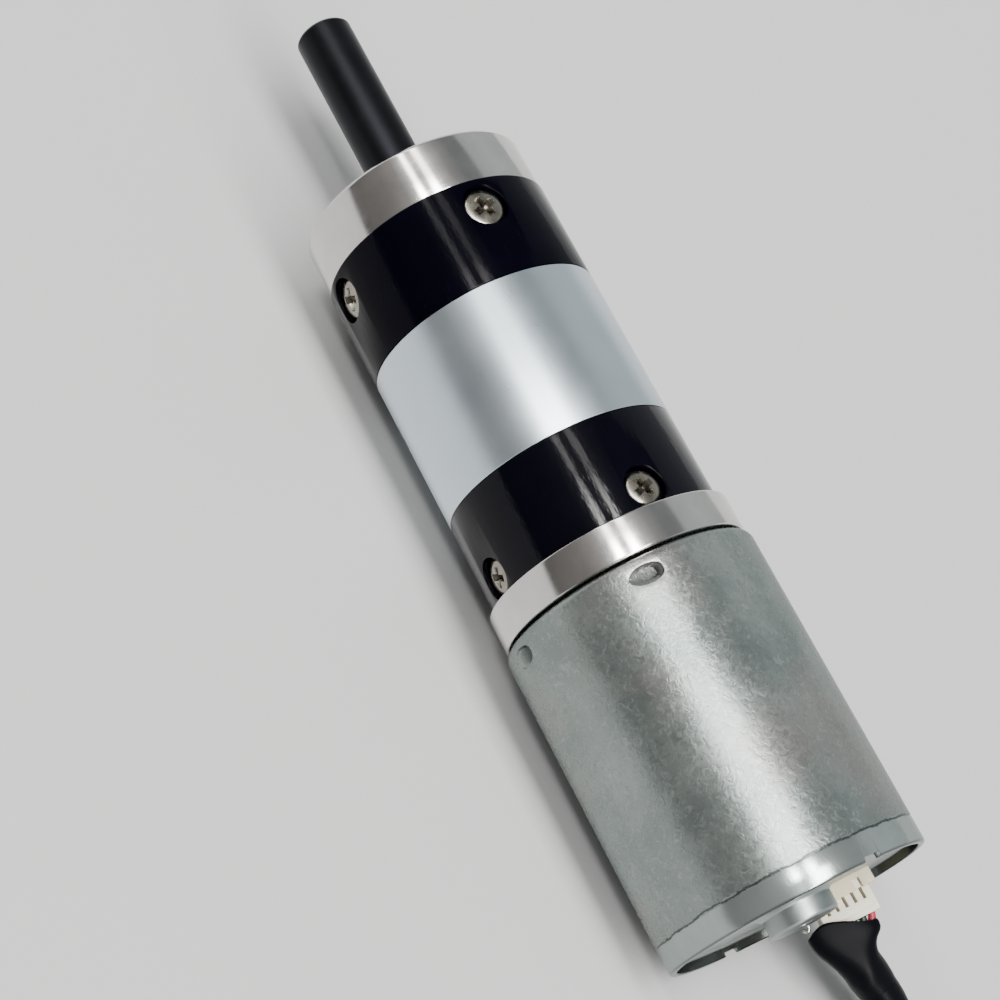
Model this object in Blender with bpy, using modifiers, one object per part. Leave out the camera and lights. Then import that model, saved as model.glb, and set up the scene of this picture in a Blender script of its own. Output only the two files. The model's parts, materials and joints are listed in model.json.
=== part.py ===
"""Planetary gearmotor: a three-stage planetary gearbox on a brushless motor, with its plug-in lead.

Metres, +Z up. The origin is the centre of the gearbox's front mounting face, on the shaft line.
+X points out along the output shaft. "Back" is a distance behind the front face, along -X.
An angle about the shaft line is measured from +Z towards +Y.
"""

import math

import bmesh
import bpy
from mathutils import Matrix, Vector

MM = 0.001
FIT = 0.1 * MM  # clearance between two pieces that touch in the real gearmotor
MESH_GAP = 0.3 * MM  # clearance where a soft piece lies against another

# Outer shape, front to back
SHAFT_RADIUS = 4.0 * MM
SHAFT_REACH = 29.3 * MM
CAP_RADIUS = 15.8 * MM
GEARBOX_RADIUS = 16.0 * MM
PLATE_RADIUS = 17.0 * MM
CAN_RADIUS = 17.5 * MM
CAP_BACK = 7.7 * MM
FRONT_SLEEVE_BACK = 21.9 * MM
RING_BACK = 43.8 * MM
REAR_SLEEVE_BACK = 57.0 * MM
PLATE_BACK = 62.2 * MM
CAN_FRONT = 62.5 * MM
CAN_BACK = 106.7 * MM
PILOT_RADIUS = 10.0 * MM
PILOT_HEIGHT = 1.8 * MM

# Housing
SPIGOT_RADIUS = 13.0 * MM
RING_END_RADIUS = 14.4 * MM
RING_START = 17.2 * MM
RING_END = 48.4 * MM
SPIGOT_END = 16.5 * MM
PLATE_SPIGOT_START = 49.2 * MM
PLATE_BORE = 6.1 * MM
FACE_HOLES = {"count": 4, "circle": 13.0 * MM, "radius": 1.25 * MM, "depth": 5.5 * MM, "turn": 45}

# Radial screws: head radius, counterbore radius, distance back, angle of the first
FRONT_SCREWS = {"name": "front_screw", "head": 2.7 * MM, "well": 3.05 * MM, "back": 11.6 * MM, "turn": 4}
REAR_SCREWS = {"name": "rear_screw", "head": 2.35 * MM, "well": 2.8 * MM, "back": 54.4 * MM, "turn": 2.5}
SCREW_COUNT = 4
SCREW_SHANK = 1.25 * MM
SCREW_HOLE = 1.4 * MM
SCREW_TOP = 15.1 * MM  # distance of a head's top from the shaft line
SCREW_TIP = 9.8 * MM
HEAD_HEIGHT = 1.2 * MM

# Gears: every stage has the same module and tooth counts
MODULE = 0.7 * MM
PRESSURE = math.radians(25)
SUN_TEETH = 12
PLANET_TEETH = 12
RING_TEETH = 36
PLANETS = 3
ADDENDUM = 0.8 * MODULE
DEDENDUM = 1.015 * MODULE
BACKLASH = 0.12 * MM
PLANET_CIRCLE = MODULE * (SUN_TEETH + PLANET_TEETH) / 2
PIN_RADIUS = 1.5 * MM
CARRIER_RADIUS = 11.5 * MM
CARRIER_THICKNESS = 2.8 * MM
WASHER_THICKNESS = 0.4 * MM
STAGE_GAP = 0.2 * MM
OUTPUT_CARRIER_BACK = 16.9 * MM
PLANET_WIDTHS = {3: 6.6 * MM, 2: 5.6 * MM, 1: 5.0 * MM}  # stage 1 is next to the motor
STAGE_TURN = {3: 0, 2: 60, 1: 0}  # degrees, multiples of the ring gear's tooth pitch

# Bearings: bore radius, outer radius, width, distance back of the front face
OUTPUT_BEARING = {"bore": 4.0 * MM, "outer": 8.0 * MM, "width": 5.0 * MM}
OUTPUT_BEARING_BACKS = {"front": 0.1 * MM, "rear": 11.5 * MM}
MOTOR_FRONT_BEARING = {"bore": 2.5 * MM, "outer": 5.0 * MM, "width": 4.0 * MM, "back": 61.6 * MM}
MOTOR_REAR_BEARING = {"bore": 2.0 * MM, "outer": 4.0 * MM, "width": 3.0 * MM, "back": 104.6 * MM}

# Motor
CAN_WALL = 1.0 * MM
CAN_SHOULDER = 1.8 * MM
STAKE_ANGLES = (24.4, 93, 204.4, 273)
STAKE_BACK = 65.2 * MM
NOTCH_ANGLES = (-2, 178)
BRACKET_BACK = 67.6 * MM
MOTOR_SHAFT = 2.5 * MM
PINION_BACK = 48.5 * MM
STATOR_SLOTS = 9
STATOR_FRONT = 72.0 * MM
STATOR_BACK = 96.0 * MM
STATOR_BORE = 9.2 * MM
SLOT_CIRCLE = 12.2 * MM
SLOT_RADIUS = 1.9 * MM
SLOT_MOUTH = 0.5 * MM
COIL_RADIUS = 1.6 * MM
COIL_OVERHANG = 3.2 * MM
MAGNET_RADIUS = 8.6 * MM
ROTOR_CORE_RADIUS = 6.0 * MM
BOARD_FRONT = 100.8 * MM
BOARD_BACK = 102.4 * MM
END_CAP_FRONT = 104.0 * MM
END_CAP_BACK = 105.6 * MM
BOSS_RADIUS = 4.6 * MM
BOSS_BACK = 108.6 * MM
MOTOR_SCREW = {"head": 2.7 * MM, "shank": 1.5 * MM, "length": 14.5 * MM, "top": 50.5 * MM}
MOTOR_SCREW_CIRCLE = 9.5 * MM
MOTOR_SCREW_TURN = 47.5
MOTOR_SCREW_HOLE = 1.7 * MM
MOTOR_SCREW_WELL = 3.0 * MM

# Lead: a header on the circuit board, a plug, a sleeved cable and its far connector.
# The header and the plug are placed in a frame that is turned about the shaft line by LEAD_TURN.
LEAD_TURN = 24
WIRES = 5
WIRE_PITCH = 1.25 * MM
PLUG_Y = -6.8 * MM
PLUG_Z = -7.85 * MM
HEADER_SIZE = Vector((4.8, 9.4, 4.1)) * MM
PLUG_SIZE = Vector((6.9, 7.5, 3.0)) * MM
PLUG_BACK = 110.5 * MM
CABLE_RADIUS = 2.6 * MM
FLOOR_Z = -CAN_RADIUS
HANK_FOLD = 3 * 2 * CABLE_RADIUS  # bend radius at the folds
HANK_NEAR_X = -153.2 * MM  # centre of the fold nearer the motor
HANK_RUN = 60.0 * MM  # distance between the centres of the folds
TAIL_END_X = -191.0 * MM
CONNECTOR_SIZE = Vector((8.5, 12.0, 5.6)) * MM
CONNECTOR_X = -197.0 * MM  # the end that the wires enter
TIE_X = -172.0 * MM

BIG, MEDIUM, SMALL = 40, 20, 12  # segments round a turned piece


def new_collection(name):
    collection = bpy.data.collections.new(name)
    bpy.context.scene.collection.children.link(collection)
    return collection


for old in list(bpy.data.objects):
    bpy.data.objects.remove(old, do_unlink=True)
PARTS = new_collection("planetary_gearmotor")
HELPERS = new_collection("cutters")

# A child of this empty has its own Z along the output shaft.
SHAFT_LINE = bpy.data.objects.new("shaft_line", None)
SHAFT_LINE.rotation_euler = (0, math.pi / 2, 0)
PARTS.objects.link(SHAFT_LINE)

# A child of this empty is level with the header's row of contacts.
LEAD_FRAME = bpy.data.objects.new("lead_frame", None)
LEAD_FRAME.rotation_euler = (-math.radians(LEAD_TURN), 0, 0)
PARTS.objects.link(LEAD_FRAME)


def material(name, colour, roughness, metallic):
    made = bpy.data.materials.new(name)
    made.use_nodes = True
    shader = made.node_tree.nodes["Principled BSDF"]
    shader.inputs["Base Color"].default_value = (*colour, 1)
    shader.inputs["Roughness"].default_value = roughness
    shader.inputs["Metallic"].default_value = metallic
    return made


BLACK_OXIDE = material("black_oxide_steel", (0.02, 0.022, 0.026), 0.35, 0.8)
POLISHED = material("turned_aluminium", (0.72, 0.71, 0.69), 0.22, 1.0)
ANODISED = material("black_anodised", (0.004, 0.005, 0.008), 0.2, 0.3)
SATIN = material("satin_aluminium", (0.66, 0.69, 0.7), 0.38, 1.0)
NICKEL = material("nickel_screw", (0.6, 0.57, 0.52), 0.25, 1.0)
GALVANISED = material("galvanised_steel", (0.42, 0.46, 0.45), 0.42, 0.9)
GEAR_STEEL = material("gear_steel", (0.4, 0.4, 0.41), 0.35, 1.0)
BEARING_STEEL = material("bearing_steel", (0.62, 0.62, 0.64), 0.15, 1.0)
WASHER_BRONZE = material("bronze_washer", (0.55, 0.38, 0.18), 0.4, 1.0)
LAMINATION = material("stator_lamination", (0.3, 0.3, 0.32), 0.5, 0.9)
COPPER = material("enamelled_copper", (0.55, 0.22, 0.08), 0.35, 0.8)
MAGNET = material("sintered_magnet", (0.1, 0.1, 0.11), 0.5, 0.6)
BOARD_GREEN = material("circuit_board", (0.02, 0.14, 0.06), 0.45, 0.0)
HEADER_BEIGE = material("header_nylon", (0.62, 0.55, 0.4), 0.5, 0.0)
PLUG_WHITE = material("plug_nylon", (0.78, 0.74, 0.64), 0.45, 0.0)
SLEEVE_BLACK = material("black_sleeve", (0.012, 0.012, 0.015), 0.4, 0.0)
TIE_BLACK = material("tie_black", (0.03, 0.03, 0.03), 0.5, 0.0)


def add(name, data, finish, parent=None):
    obj = bpy.data.objects.new(name, data)
    obj.parent = parent
    if not data.materials:
        data.materials.append(finish)
    PARTS.objects.link(obj)
    return obj


def around(angle, radius, back):
    """A point in the shaft line's own frame."""
    turn = math.pi - math.radians(angle)
    return Vector((radius * math.cos(turn), radius * math.sin(turn), -back))


def arc(centre_back, centre_radius, bend, first, last, steps):
    """Profile points round a centre: 0 degrees points outwards, 90 degrees points back."""
    turns = [math.radians(first + (last - first) * i / steps) for i in range(steps + 1)]
    return [(centre_back + bend * math.sin(t), centre_radius + bend * math.cos(t)) for t in turns]


def turned(name, profile, finish, segments=MEDIUM, parent=SHAFT_LINE):
    """A turned piece from (back, radius) points: down its outer side from front to back, then its bore.

    A profile that starts and ends on the axis is solid. Any other one is a ring, and closes on itself.
    """
    mesh = bpy.data.meshes.new(name)
    points = [(radius, 0, -back) for back, radius in profile]
    edges = [(i, i + 1) for i in range(len(points) - 1)]
    if profile[0][1] > 0:
        edges.append((len(points) - 1, 0))
    mesh.from_pydata(points, edges, [])
    obj = add(name, mesh, finish, parent)
    screw = obj.modifiers.new("turn", "SCREW")
    screw.axis = "Z"
    screw.angle = math.tau
    screw.steps = screw.render_steps = segments
    screw.use_merge_vertices = True
    screw.merge_threshold = 0.001 * MM
    screw.use_smooth_shade = False
    return obj


def smooth(obj):
    """Turns a finished round piece's evaluated mesh into its own, shaded smooth up to 30 degrees."""
    mesh = evaluated_mesh(obj)
    mesh.shade_smooth()
    mesh.set_sharp_from_angle(angle=math.radians(30))
    obj.modifiers.clear()
    obj.data = mesh
    return obj


def evaluated_mesh(obj):
    graph = bpy.context.evaluated_depsgraph_get()
    graph.update()
    return bpy.data.meshes.new_from_object(obj.evaluated_get(graph))


def helper(obj):
    obj.hide_render = True
    obj.display_type = "WIRE"
    for collection in list(obj.users_collection):
        collection.objects.unlink(obj)
    HELPERS.objects.link(obj)
    return obj


def combine(target, other, operation):
    boolean = target.modifiers.new(operation.lower(), "BOOLEAN")
    boolean.operation = operation
    boolean.solver = "EXACT"
    boolean.object = helper(other)


def rod(centre, direction, radius, length, segments=SMALL, parent=SHAFT_LINE):
    """A cylinder, as a helper for a Boolean, centred on a point."""
    mesh = bpy.data.meshes.new("rod")
    cage = bmesh.new()
    sizes = {"radius1": radius, "radius2": radius, "depth": length}
    bmesh.ops.create_cone(cage, cap_ends=True, segments=segments, **sizes)
    cage.to_mesh(mesh)
    cage.free()
    obj = bpy.data.objects.new("rod", mesh)
    obj.location = centre
    obj.rotation_euler = Vector(direction).to_track_quat("Z", "Y").to_euler()
    obj.parent = parent
    PARTS.objects.link(obj)
    return obj


def box_mesh(size, name="box"):
    mesh = bpy.data.meshes.new(name)
    cage = bmesh.new()
    bmesh.ops.create_cube(cage, size=1, matrix=Matrix.Diagonal((*size, 1)))
    cage.to_mesh(mesh)
    cage.free()
    return mesh


def block(centre, size, parent=None, turn=0):
    """A box, as a helper for a Boolean. turn is about its parent's Z axis."""
    obj = bpy.data.objects.new("block", box_mesh(size))
    obj.location = centre
    obj.rotation_euler = (0, 0, turn)
    obj.parent = parent
    PARTS.objects.link(obj)
    return obj


def flat(name, outlines, front, back, finish, parent=SHAFT_LINE, place=(0, 0), turn=0):
    """A plate from closed outlines across the shaft line. The outlines after the first are its holes."""
    curve = bpy.data.curves.new(name, "CURVE")
    curve.dimensions = "2D"
    curve.fill_mode = "BOTH"
    curve.extrude = (back - front) / 2
    for outline in outlines:
        spline = curve.splines.new("POLY")
        spline.points.add(len(outline) - 1)
        for point, (x, y) in zip(spline.points, outline, strict=True):
            point.co = (x, y, 0, 1)
        spline.use_cyclic_u = True
    obj = add(name, curve, finish, parent)
    obj.location = (*place, -(front + back) / 2)
    obj.rotation_euler = (0, 0, turn)
    return obj


def as_mesh(obj):
    """Replaces a curve object by a closed mesh object of the same name and place."""
    mesh = evaluated_mesh(obj)
    cage = bmesh.new()
    cage.from_mesh(mesh)
    bmesh.ops.remove_doubles(cage, verts=cage.verts, dist=0.0005 * MM)
    bmesh.ops.recalc_face_normals(cage, faces=cage.faces)
    cage.to_mesh(mesh)
    cage.free()
    name, finish = obj.name, obj.data.materials[0]
    place, turn, parent = obj.location.copy(), obj.rotation_euler.copy(), obj.parent
    bpy.data.objects.remove(obj)
    if not mesh.materials:
        mesh.materials.append(finish)
    made = add(name, mesh, finish, parent)
    made.location, made.rotation_euler = place, turn
    return made


def circle(radius, segments, centre=(0, 0)):
    turns = [math.tau * i / segments for i in range(segments)]
    return [(centre[0] + radius * math.cos(t), centre[1] + radius * math.sin(t)) for t in turns]


def involute(angle):
    return math.tan(angle) - angle


def half_tooth(radius, teeth, widening):
    """Half the angle that an involute tooth spans at a radius. widening is along the pitch circle."""
    base = MODULE * teeth / 2 * math.cos(PRESSURE)
    at_pitch = (math.pi / 2 + widening / MODULE) / teeth
    slope = math.acos(base / max(radius, base))
    return at_pitch + involute(PRESSURE) - involute(slope)


def gear_outline(teeth, radii, widening, first=0.0):
    """Toothed outline whose first tooth, or space for an internal gear, is centred at the angle first."""
    outline = []
    for tooth in range(teeth):
        middle = first + math.tau * tooth / teeth
        halves = [(r, half_tooth(r, teeth, widening)) for r in radii]
        flanks = [(r, -half) for r, half in halves] + [(r, half) for r, half in reversed(halves)]
        outline += [(r * math.cos(middle + t), r * math.sin(middle + t)) for r, t in flanks]
    return outline


def external_gear(teeth, first=0.0):
    pitch = MODULE * teeth / 2
    return gear_outline(teeth, (pitch - DEDENDUM, pitch, pitch + ADDENDUM), -BACKLASH / 2, first)


def internal_gear(teeth):
    pitch = MODULE * teeth / 2
    return gear_outline(teeth, (pitch - ADDENDUM, pitch, pitch + DEDENDUM), BACKLASH / 2)


# Gearbox housing


def front_cap():
    seat = OUTPUT_BEARING["outer"] + FIT
    first, second = OUTPUT_BEARING_BACKS["front"], OUTPUT_BEARING_BACKS["rear"]
    width, edge = OUTPUT_BEARING["width"], 0.4 * MM
    profile = [
        (-PILOT_HEIGHT, 5.2 * MM),
        (-PILOT_HEIGHT, PILOT_RADIUS),
        (0, PILOT_RADIUS),
        (0, CAP_RADIUS - edge),
        (edge, CAP_RADIUS),
        (CAP_BACK, CAP_RADIUS),
        (CAP_BACK, SPIGOT_RADIUS),
        (SPIGOT_END, SPIGOT_RADIUS),
        (SPIGOT_END, seat),
        (second - FIT, seat),
        (second - FIT, seat - edge * 2),
        (first + width + FIT, seat - edge * 2),
        (first + width + FIT, seat),
        (first - 1.0 * MM, seat),
        (first - 1.0 * MM, 5.2 * MM),
    ]
    cap = turned("front_cap", profile, POLISHED, BIG)
    for i in range(FACE_HOLES["count"]):
        angle = FACE_HOLES["turn"] + 360 * i / FACE_HOLES["count"]
        centre = around(angle, FACE_HOLES["circle"], 0)
        combine(cap, rod(centre, (0, 0, 1), FACE_HOLES["radius"], 2 * FACE_HOLES["depth"], 12), "DIFFERENCE")
    drill_radial(cap, FRONT_SCREWS)
    smooth(cap)


def screw_angles(screws):
    return [screws["turn"] + 360 * i / SCREW_COUNT for i in range(SCREW_COUNT)]


def drill_radial(piece, screws, well=False):
    """Four holes across the wall for the radial screws, and the wells that their heads sit in."""
    for angle in screw_angles(screws):
        outwards = around(angle, 1, 0)
        low, high = SCREW_TIP - FIT, GEARBOX_RADIUS
        middle = around(angle, (low + high) / 2, screws["back"])
        combine(piece, rod(middle, outwards, SCREW_HOLE, high - low, 12), "DIFFERENCE")
        if well:
            low, high = SCREW_TOP - HEAD_HEIGHT - FIT, GEARBOX_RADIUS + 1 * MM
            middle = around(angle, (low + high) / 2, screws["back"])
            combine(piece, rod(middle, outwards, screws["well"], high - low, 20), "DIFFERENCE")


def front_sleeve():
    front, back = CAP_BACK + FIT, FRONT_SLEEVE_BACK
    profile = [
        (front, GEARBOX_RADIUS),
        (back, GEARBOX_RADIUS),
        (back, RING_END_RADIUS + FIT),
        (SPIGOT_END + FIT, RING_END_RADIUS + FIT),
        (SPIGOT_END + FIT, SPIGOT_RADIUS + FIT),
        (front, SPIGOT_RADIUS + FIT),
    ]
    sleeve = turned("front_sleeve", profile, ANODISED, BIG)
    drill_radial(sleeve, FRONT_SCREWS, well=True)
    smooth(sleeve)


def rear_sleeve():
    front, back = RING_BACK + FIT, REAR_SLEEVE_BACK
    step = RING_END + FIT
    profile = [
        (front, GEARBOX_RADIUS),
        (back, GEARBOX_RADIUS),
        (back, SPIGOT_RADIUS + FIT),
        (step, SPIGOT_RADIUS + FIT),
        (step, RING_END_RADIUS + FIT),
        (front, RING_END_RADIUS + FIT),
    ]
    sleeve = turned("rear_sleeve", profile, ANODISED, BIG)
    drill_radial(sleeve, REAR_SCREWS, well=True)
    smooth(sleeve)


def ring_gear():
    """The silver tube: internal teeth from end to end, and two reduced ends inside the sleeves."""
    outlines = [circle(RING_END_RADIUS, BIG), internal_gear(RING_TEETH)]
    tube = as_mesh(flat("ring_gear", outlines, RING_START, RING_END, SATIN))
    front, back = FRONT_SLEEVE_BACK + FIT, RING_BACK
    inner = RING_END_RADIUS - 0.3 * MM
    band = [(front, GEARBOX_RADIUS), (back, GEARBOX_RADIUS), (back, inner), (front, inner)]
    combine(tube, turned("band", band, SATIN, BIG), "UNION")
    smooth(tube)


def motor_plate():
    edge = 0.3 * MM
    profile = [
        (PLATE_SPIGOT_START, SPIGOT_RADIUS),
        (REAR_SLEEVE_BACK + FIT, SPIGOT_RADIUS),
        (REAR_SLEEVE_BACK + FIT, PLATE_RADIUS - edge),
        (REAR_SLEEVE_BACK + FIT + edge, PLATE_RADIUS),
        (PLATE_BACK - edge, PLATE_RADIUS),
        (PLATE_BACK, PLATE_RADIUS - edge),
        (PLATE_BACK, PLATE_BORE),
        (PLATE_SPIGOT_START, PLATE_BORE),
    ]
    plate = turned("motor_plate", profile, POLISHED, BIG)
    drill_radial(plate, REAR_SCREWS)
    for side in range(2):
        angle = MOTOR_SCREW_TURN + 180 * side
        centre = around(angle, MOTOR_SCREW_CIRCLE, PLATE_BACK)
        combine(plate, rod(centre, (0, 0, 1), MOTOR_SCREW_HOLE, 30 * MM, 12), "DIFFERENCE")
        well = around(angle, MOTOR_SCREW_CIRCLE, PLATE_SPIGOT_START)
        combine(plate, rod(well, (0, 0, 1), MOTOR_SCREW_WELL, 5.2 * MM, 16), "DIFFERENCE")
    smooth(plate)


# Screws


def cross_cutter(parent, top, width, depth):
    """A cross-shaped helper that cuts a screw head's drive."""
    for turn in (0, math.pi / 2):
        size = (width, width * 0.28, depth * 2)
        yield block((0, 0, top), size, parent, turn)


def screw_mesh(name, head, shank, length):
    """A pan-head screw along Z with its head's top at the origin."""
    top = 0.35 * HEAD_HEIGHT
    profile = [(0, 0), (0, head - top), *arc(top, head - top, top, -60, 0, 2)]
    profile += [(HEAD_HEIGHT, head), (HEAD_HEIGHT, shank), (length, shank), (length, 0)]
    pattern = turned(name + "_pattern", profile, NICKEL, SMALL, parent=None)
    for cutter in cross_cutter(None, 0, head * 1.1, HEAD_HEIGHT * 0.55):
        combine(pattern, cutter, "DIFFERENCE")
    mesh = evaluated_mesh(pattern)
    mesh.shade_smooth()
    mesh.set_sharp_from_angle(angle=math.radians(30))
    for modifier in pattern.modifiers:
        if modifier.type == "BOOLEAN":
            bpy.data.objects.remove(modifier.object)
    bpy.data.objects.remove(pattern)
    return mesh


def radial_screws(screws):
    mesh = screw_mesh(screws["name"], screws["head"], SCREW_SHANK, SCREW_TOP - SCREW_TIP)
    for number, angle in enumerate(screw_angles(screws), 1):
        screw = add(f"{screws['name']}_{number}", mesh, NICKEL, SHAFT_LINE)
        screw.location = around(angle, SCREW_TOP, screws["back"])
        screw.rotation_euler = around(angle, 1, 0).to_track_quat("Z", "Y").to_euler()


def motor_screws():
    mesh = screw_mesh("motor_screw", MOTOR_SCREW["head"], MOTOR_SCREW["shank"], MOTOR_SCREW["length"])
    for side in range(2):
        screw = add(f"motor_screw_{side + 1}", mesh, NICKEL, SHAFT_LINE)
        screw.location = around(MOTOR_SCREW_TURN + 180 * side, MOTOR_SCREW_CIRCLE, MOTOR_SCREW["top"])


# Output shaft and bearings


def output_shaft():
    chamfer, groove = 0.5 * MM, 3.6 * MM
    clip_front, clip_back = -0.75 * MM, 0.0
    profile = [
        (-SHAFT_REACH, 0),
        (-SHAFT_REACH, SHAFT_RADIUS - chamfer),
        (-SHAFT_REACH + chamfer, SHAFT_RADIUS),
        (clip_front, SHAFT_RADIUS),
        (clip_front, groove),
        (clip_back, groove),
        (clip_back, SHAFT_RADIUS),
        (OUTPUT_CARRIER_BACK + CARRIER_THICKNESS - STAGE_GAP, SHAFT_RADIUS),
        (OUTPUT_CARRIER_BACK + CARRIER_THICKNESS - STAGE_GAP, 0),
    ]
    smooth(turned("output_shaft", profile, BLACK_OXIDE, 28))
    turns = [math.radians(35 + 290 * i / 16) for i in range(17)]
    inner, outer = groove + FIT, 5.0 * MM
    outline = [(outer * math.cos(t), outer * math.sin(t)) for t in turns]
    outline += [(inner * math.cos(t), inner * math.sin(t)) for t in reversed(turns)]
    flat("output_circlip", [outline], clip_front + FIT, clip_back - FIT, BLACK_OXIDE)


def bearing(name, bearing_sizes, back):
    """A shielded ball bearing as its two rings: the inner one turns with the shaft."""
    bore, outer, width = (bearing_sizes[key] for key in ("bore", "outer", "width"))
    split = (bore + outer) / 2
    inner_land, outer_land = split - 0.32 * (outer - bore) / 2, split + 0.1 * MM
    edge = 0.2 * MM
    ring = [(back, outer - edge), (back + edge, outer)]
    ring += [(back + width - edge, outer), (back + width, outer - edge)]
    ring += [(back + width, outer_land), (back, outer_land)]
    turned(name + "_outer", ring, BEARING_STEEL)
    hub = [(back, inner_land), (back + width, inner_land), (back + width, bore + FIT), (back, bore + FIT)]
    turned(name + "_inner", hub, BEARING_STEEL)


# Planetary stages


def stage_stations():
    """Distances back: the front of each stage's carrier, planets and thrust washer."""
    stations, front = {}, OUTPUT_CARRIER_BACK
    for stage in sorted(PLANET_WIDTHS, reverse=True):
        planets = front + CARRIER_THICKNESS + STAGE_GAP
        washer = planets + PLANET_WIDTHS[stage] + STAGE_GAP
        stations[stage] = {"carrier": front, "planets": planets, "washer": washer}
        front = washer + WASHER_THICKNESS + STAGE_GAP
    return stations


def carrier(stage, stations):
    """A disc with its three planet pins. Carriers 1 and 2 also carry the next stage's sun gear."""
    front = stations[stage]["carrier"]
    back = front + CARRIER_THICKNESS
    planets_back = stations[stage]["planets"] + PLANET_WIDTHS[stage]
    if stage == 3:
        bore = SHAFT_RADIUS + FIT
        profile = [(front, CARRIER_RADIUS), (back, CARRIER_RADIUS), (back, bore), (front, bore)]
        disc = turned("output_carrier", profile, GEAR_STEEL, 24)
    else:
        profile = [(front, 0), (front, CARRIER_RADIUS), (back, CARRIER_RADIUS), (back, 0)]
        disc = turned(f"carrier_{stage}", profile, GEAR_STEEL, 24)
        ahead = stations[stage + 1]["planets"]
        space = math.radians(180 - STAGE_TURN[stage + 1]) + math.pi / SUN_TEETH
        sun = flat("sun", [external_gear(SUN_TEETH, space)], ahead, front + CARRIER_THICKNESS / 2, GEAR_STEEL)
        combine(disc, as_mesh(sun), "UNION")
    for angle in planet_angles(stage):
        low, high = back - CARRIER_THICKNESS / 2, planets_back
        middle = around(angle, PLANET_CIRCLE, (low + high) / 2)
        combine(disc, rod(middle, (0, 0, 1), PIN_RADIUS, high - low, 10), "UNION")
    smooth(disc)


def planet_angles(stage):
    return [STAGE_TURN[stage] + 360 * i / PLANETS for i in range(PLANETS)]


def planets(stage, stations):
    front = stations[stage]["planets"]
    back = front + PLANET_WIDTHS[stage]
    for letter, angle in zip("abc", planet_angles(stage), strict=True):
        centre = around(angle, PLANET_CIRCLE, 0)
        turn = math.pi - math.radians(angle)
        outlines = [external_gear(PLANET_TEETH), circle(PIN_RADIUS + FIT, 10)]
        flat(f"planet_{stage}{letter}", outlines, front, back, GEAR_STEEL, place=centre.xy, turn=turn)


def thrust_washer(stage, stations):
    front = stations[stage]["washer"]
    back = front + WASHER_THICKNESS
    inner, outer = MODULE * SUN_TEETH / 2 + ADDENDUM + 0.4 * MM, CARRIER_RADIUS
    profile = [(front, outer), (back, outer), (back, inner), (front, inner)]
    turned(f"thrust_washer_{stage}", profile, WASHER_BRONZE)


def gear_train():
    stations = stage_stations()
    for stage in stations:
        carrier(stage, stations)
        planets(stage, stations)
    for stage in (3, 2):
        thrust_washer(stage, stations)
    front = stations[1]["planets"]
    space = math.radians(180 - STAGE_TURN[1]) + math.pi / SUN_TEETH
    outlines = [external_gear(SUN_TEETH, space), circle(MOTOR_SHAFT + FIT / 2, 20)]
    flat("motor_pinion", outlines, front, PINION_BACK, GEAR_STEEL)


# Motor


def motor_can():
    inner, wall = CAN_RADIUS - CAN_WALL, CAN_WALL
    profile = [
        (CAN_FRONT, PLATE_BORE),
        *arc(CAN_FRONT + CAN_SHOULDER, CAN_RADIUS - CAN_SHOULDER, CAN_SHOULDER, -90, 0, 4),
        (CAN_BACK, CAN_RADIUS),
        (CAN_BACK, inner),
        (CAN_FRONT + wall, inner),
        (CAN_FRONT + wall, PLATE_BORE),
    ]
    can = turned("motor_can", profile, GALVANISED, BIG)
    for angle in STAKE_ANGLES:
        centre = around(angle, CAN_RADIUS, STAKE_BACK)
        turn = math.pi - math.radians(angle)
        combine(can, block(centre, (1.2 * MM, 4.2 * MM, 2.2 * MM), SHAFT_LINE, turn), "DIFFERENCE")
    for angle in NOTCH_ANGLES:
        centre = around(angle, CAN_RADIUS - wall / 2, CAN_BACK)
        turn = math.pi - math.radians(angle)
        combine(can, block(centre, (4 * MM, 2.3 * MM, 1.2 * MM), SHAFT_LINE, turn), "DIFFERENCE")
    for side in range(2):
        centre = around(MOTOR_SCREW_TURN + 180 * side, MOTOR_SCREW_CIRCLE, CAN_FRONT)
        combine(can, rod(centre, (0, 0, 1), MOTOR_SCREW_HOLE, 4 * MM, 12), "DIFFERENCE")
    smooth(can)


def motor_bracket():
    """The motor's front bearing bracket, staked inside the can. Its nose centres the motor in the plate."""
    seat = MOTOR_FRONT_BEARING["outer"] + FIT
    nose, bearing_front = PLATE_BORE - FIT, MOTOR_FRONT_BEARING["back"] - FIT
    front = CAN_FRONT + CAN_WALL + FIT
    profile = [
        (bearing_front - 0.8 * MM, nose),
        (front, nose),
        (front, CAN_RADIUS - CAN_WALL - FIT),
        (BRACKET_BACK, CAN_RADIUS - CAN_WALL - FIT),
        (BRACKET_BACK, seat),
        (bearing_front, seat),
        (bearing_front, seat - 1.6 * MM),
        (bearing_front - 0.8 * MM, seat - 1.6 * MM),
    ]
    bracket = turned("motor_bracket", profile, GALVANISED, BIG)
    for side in range(2):
        centre = around(MOTOR_SCREW_TURN + 180 * side, MOTOR_SCREW_CIRCLE, BRACKET_BACK)
        combine(bracket, rod(centre, (0, 0, 1), 1.6 * MM, 20 * MM, 12), "DIFFERENCE")
    smooth(bracket)


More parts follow.
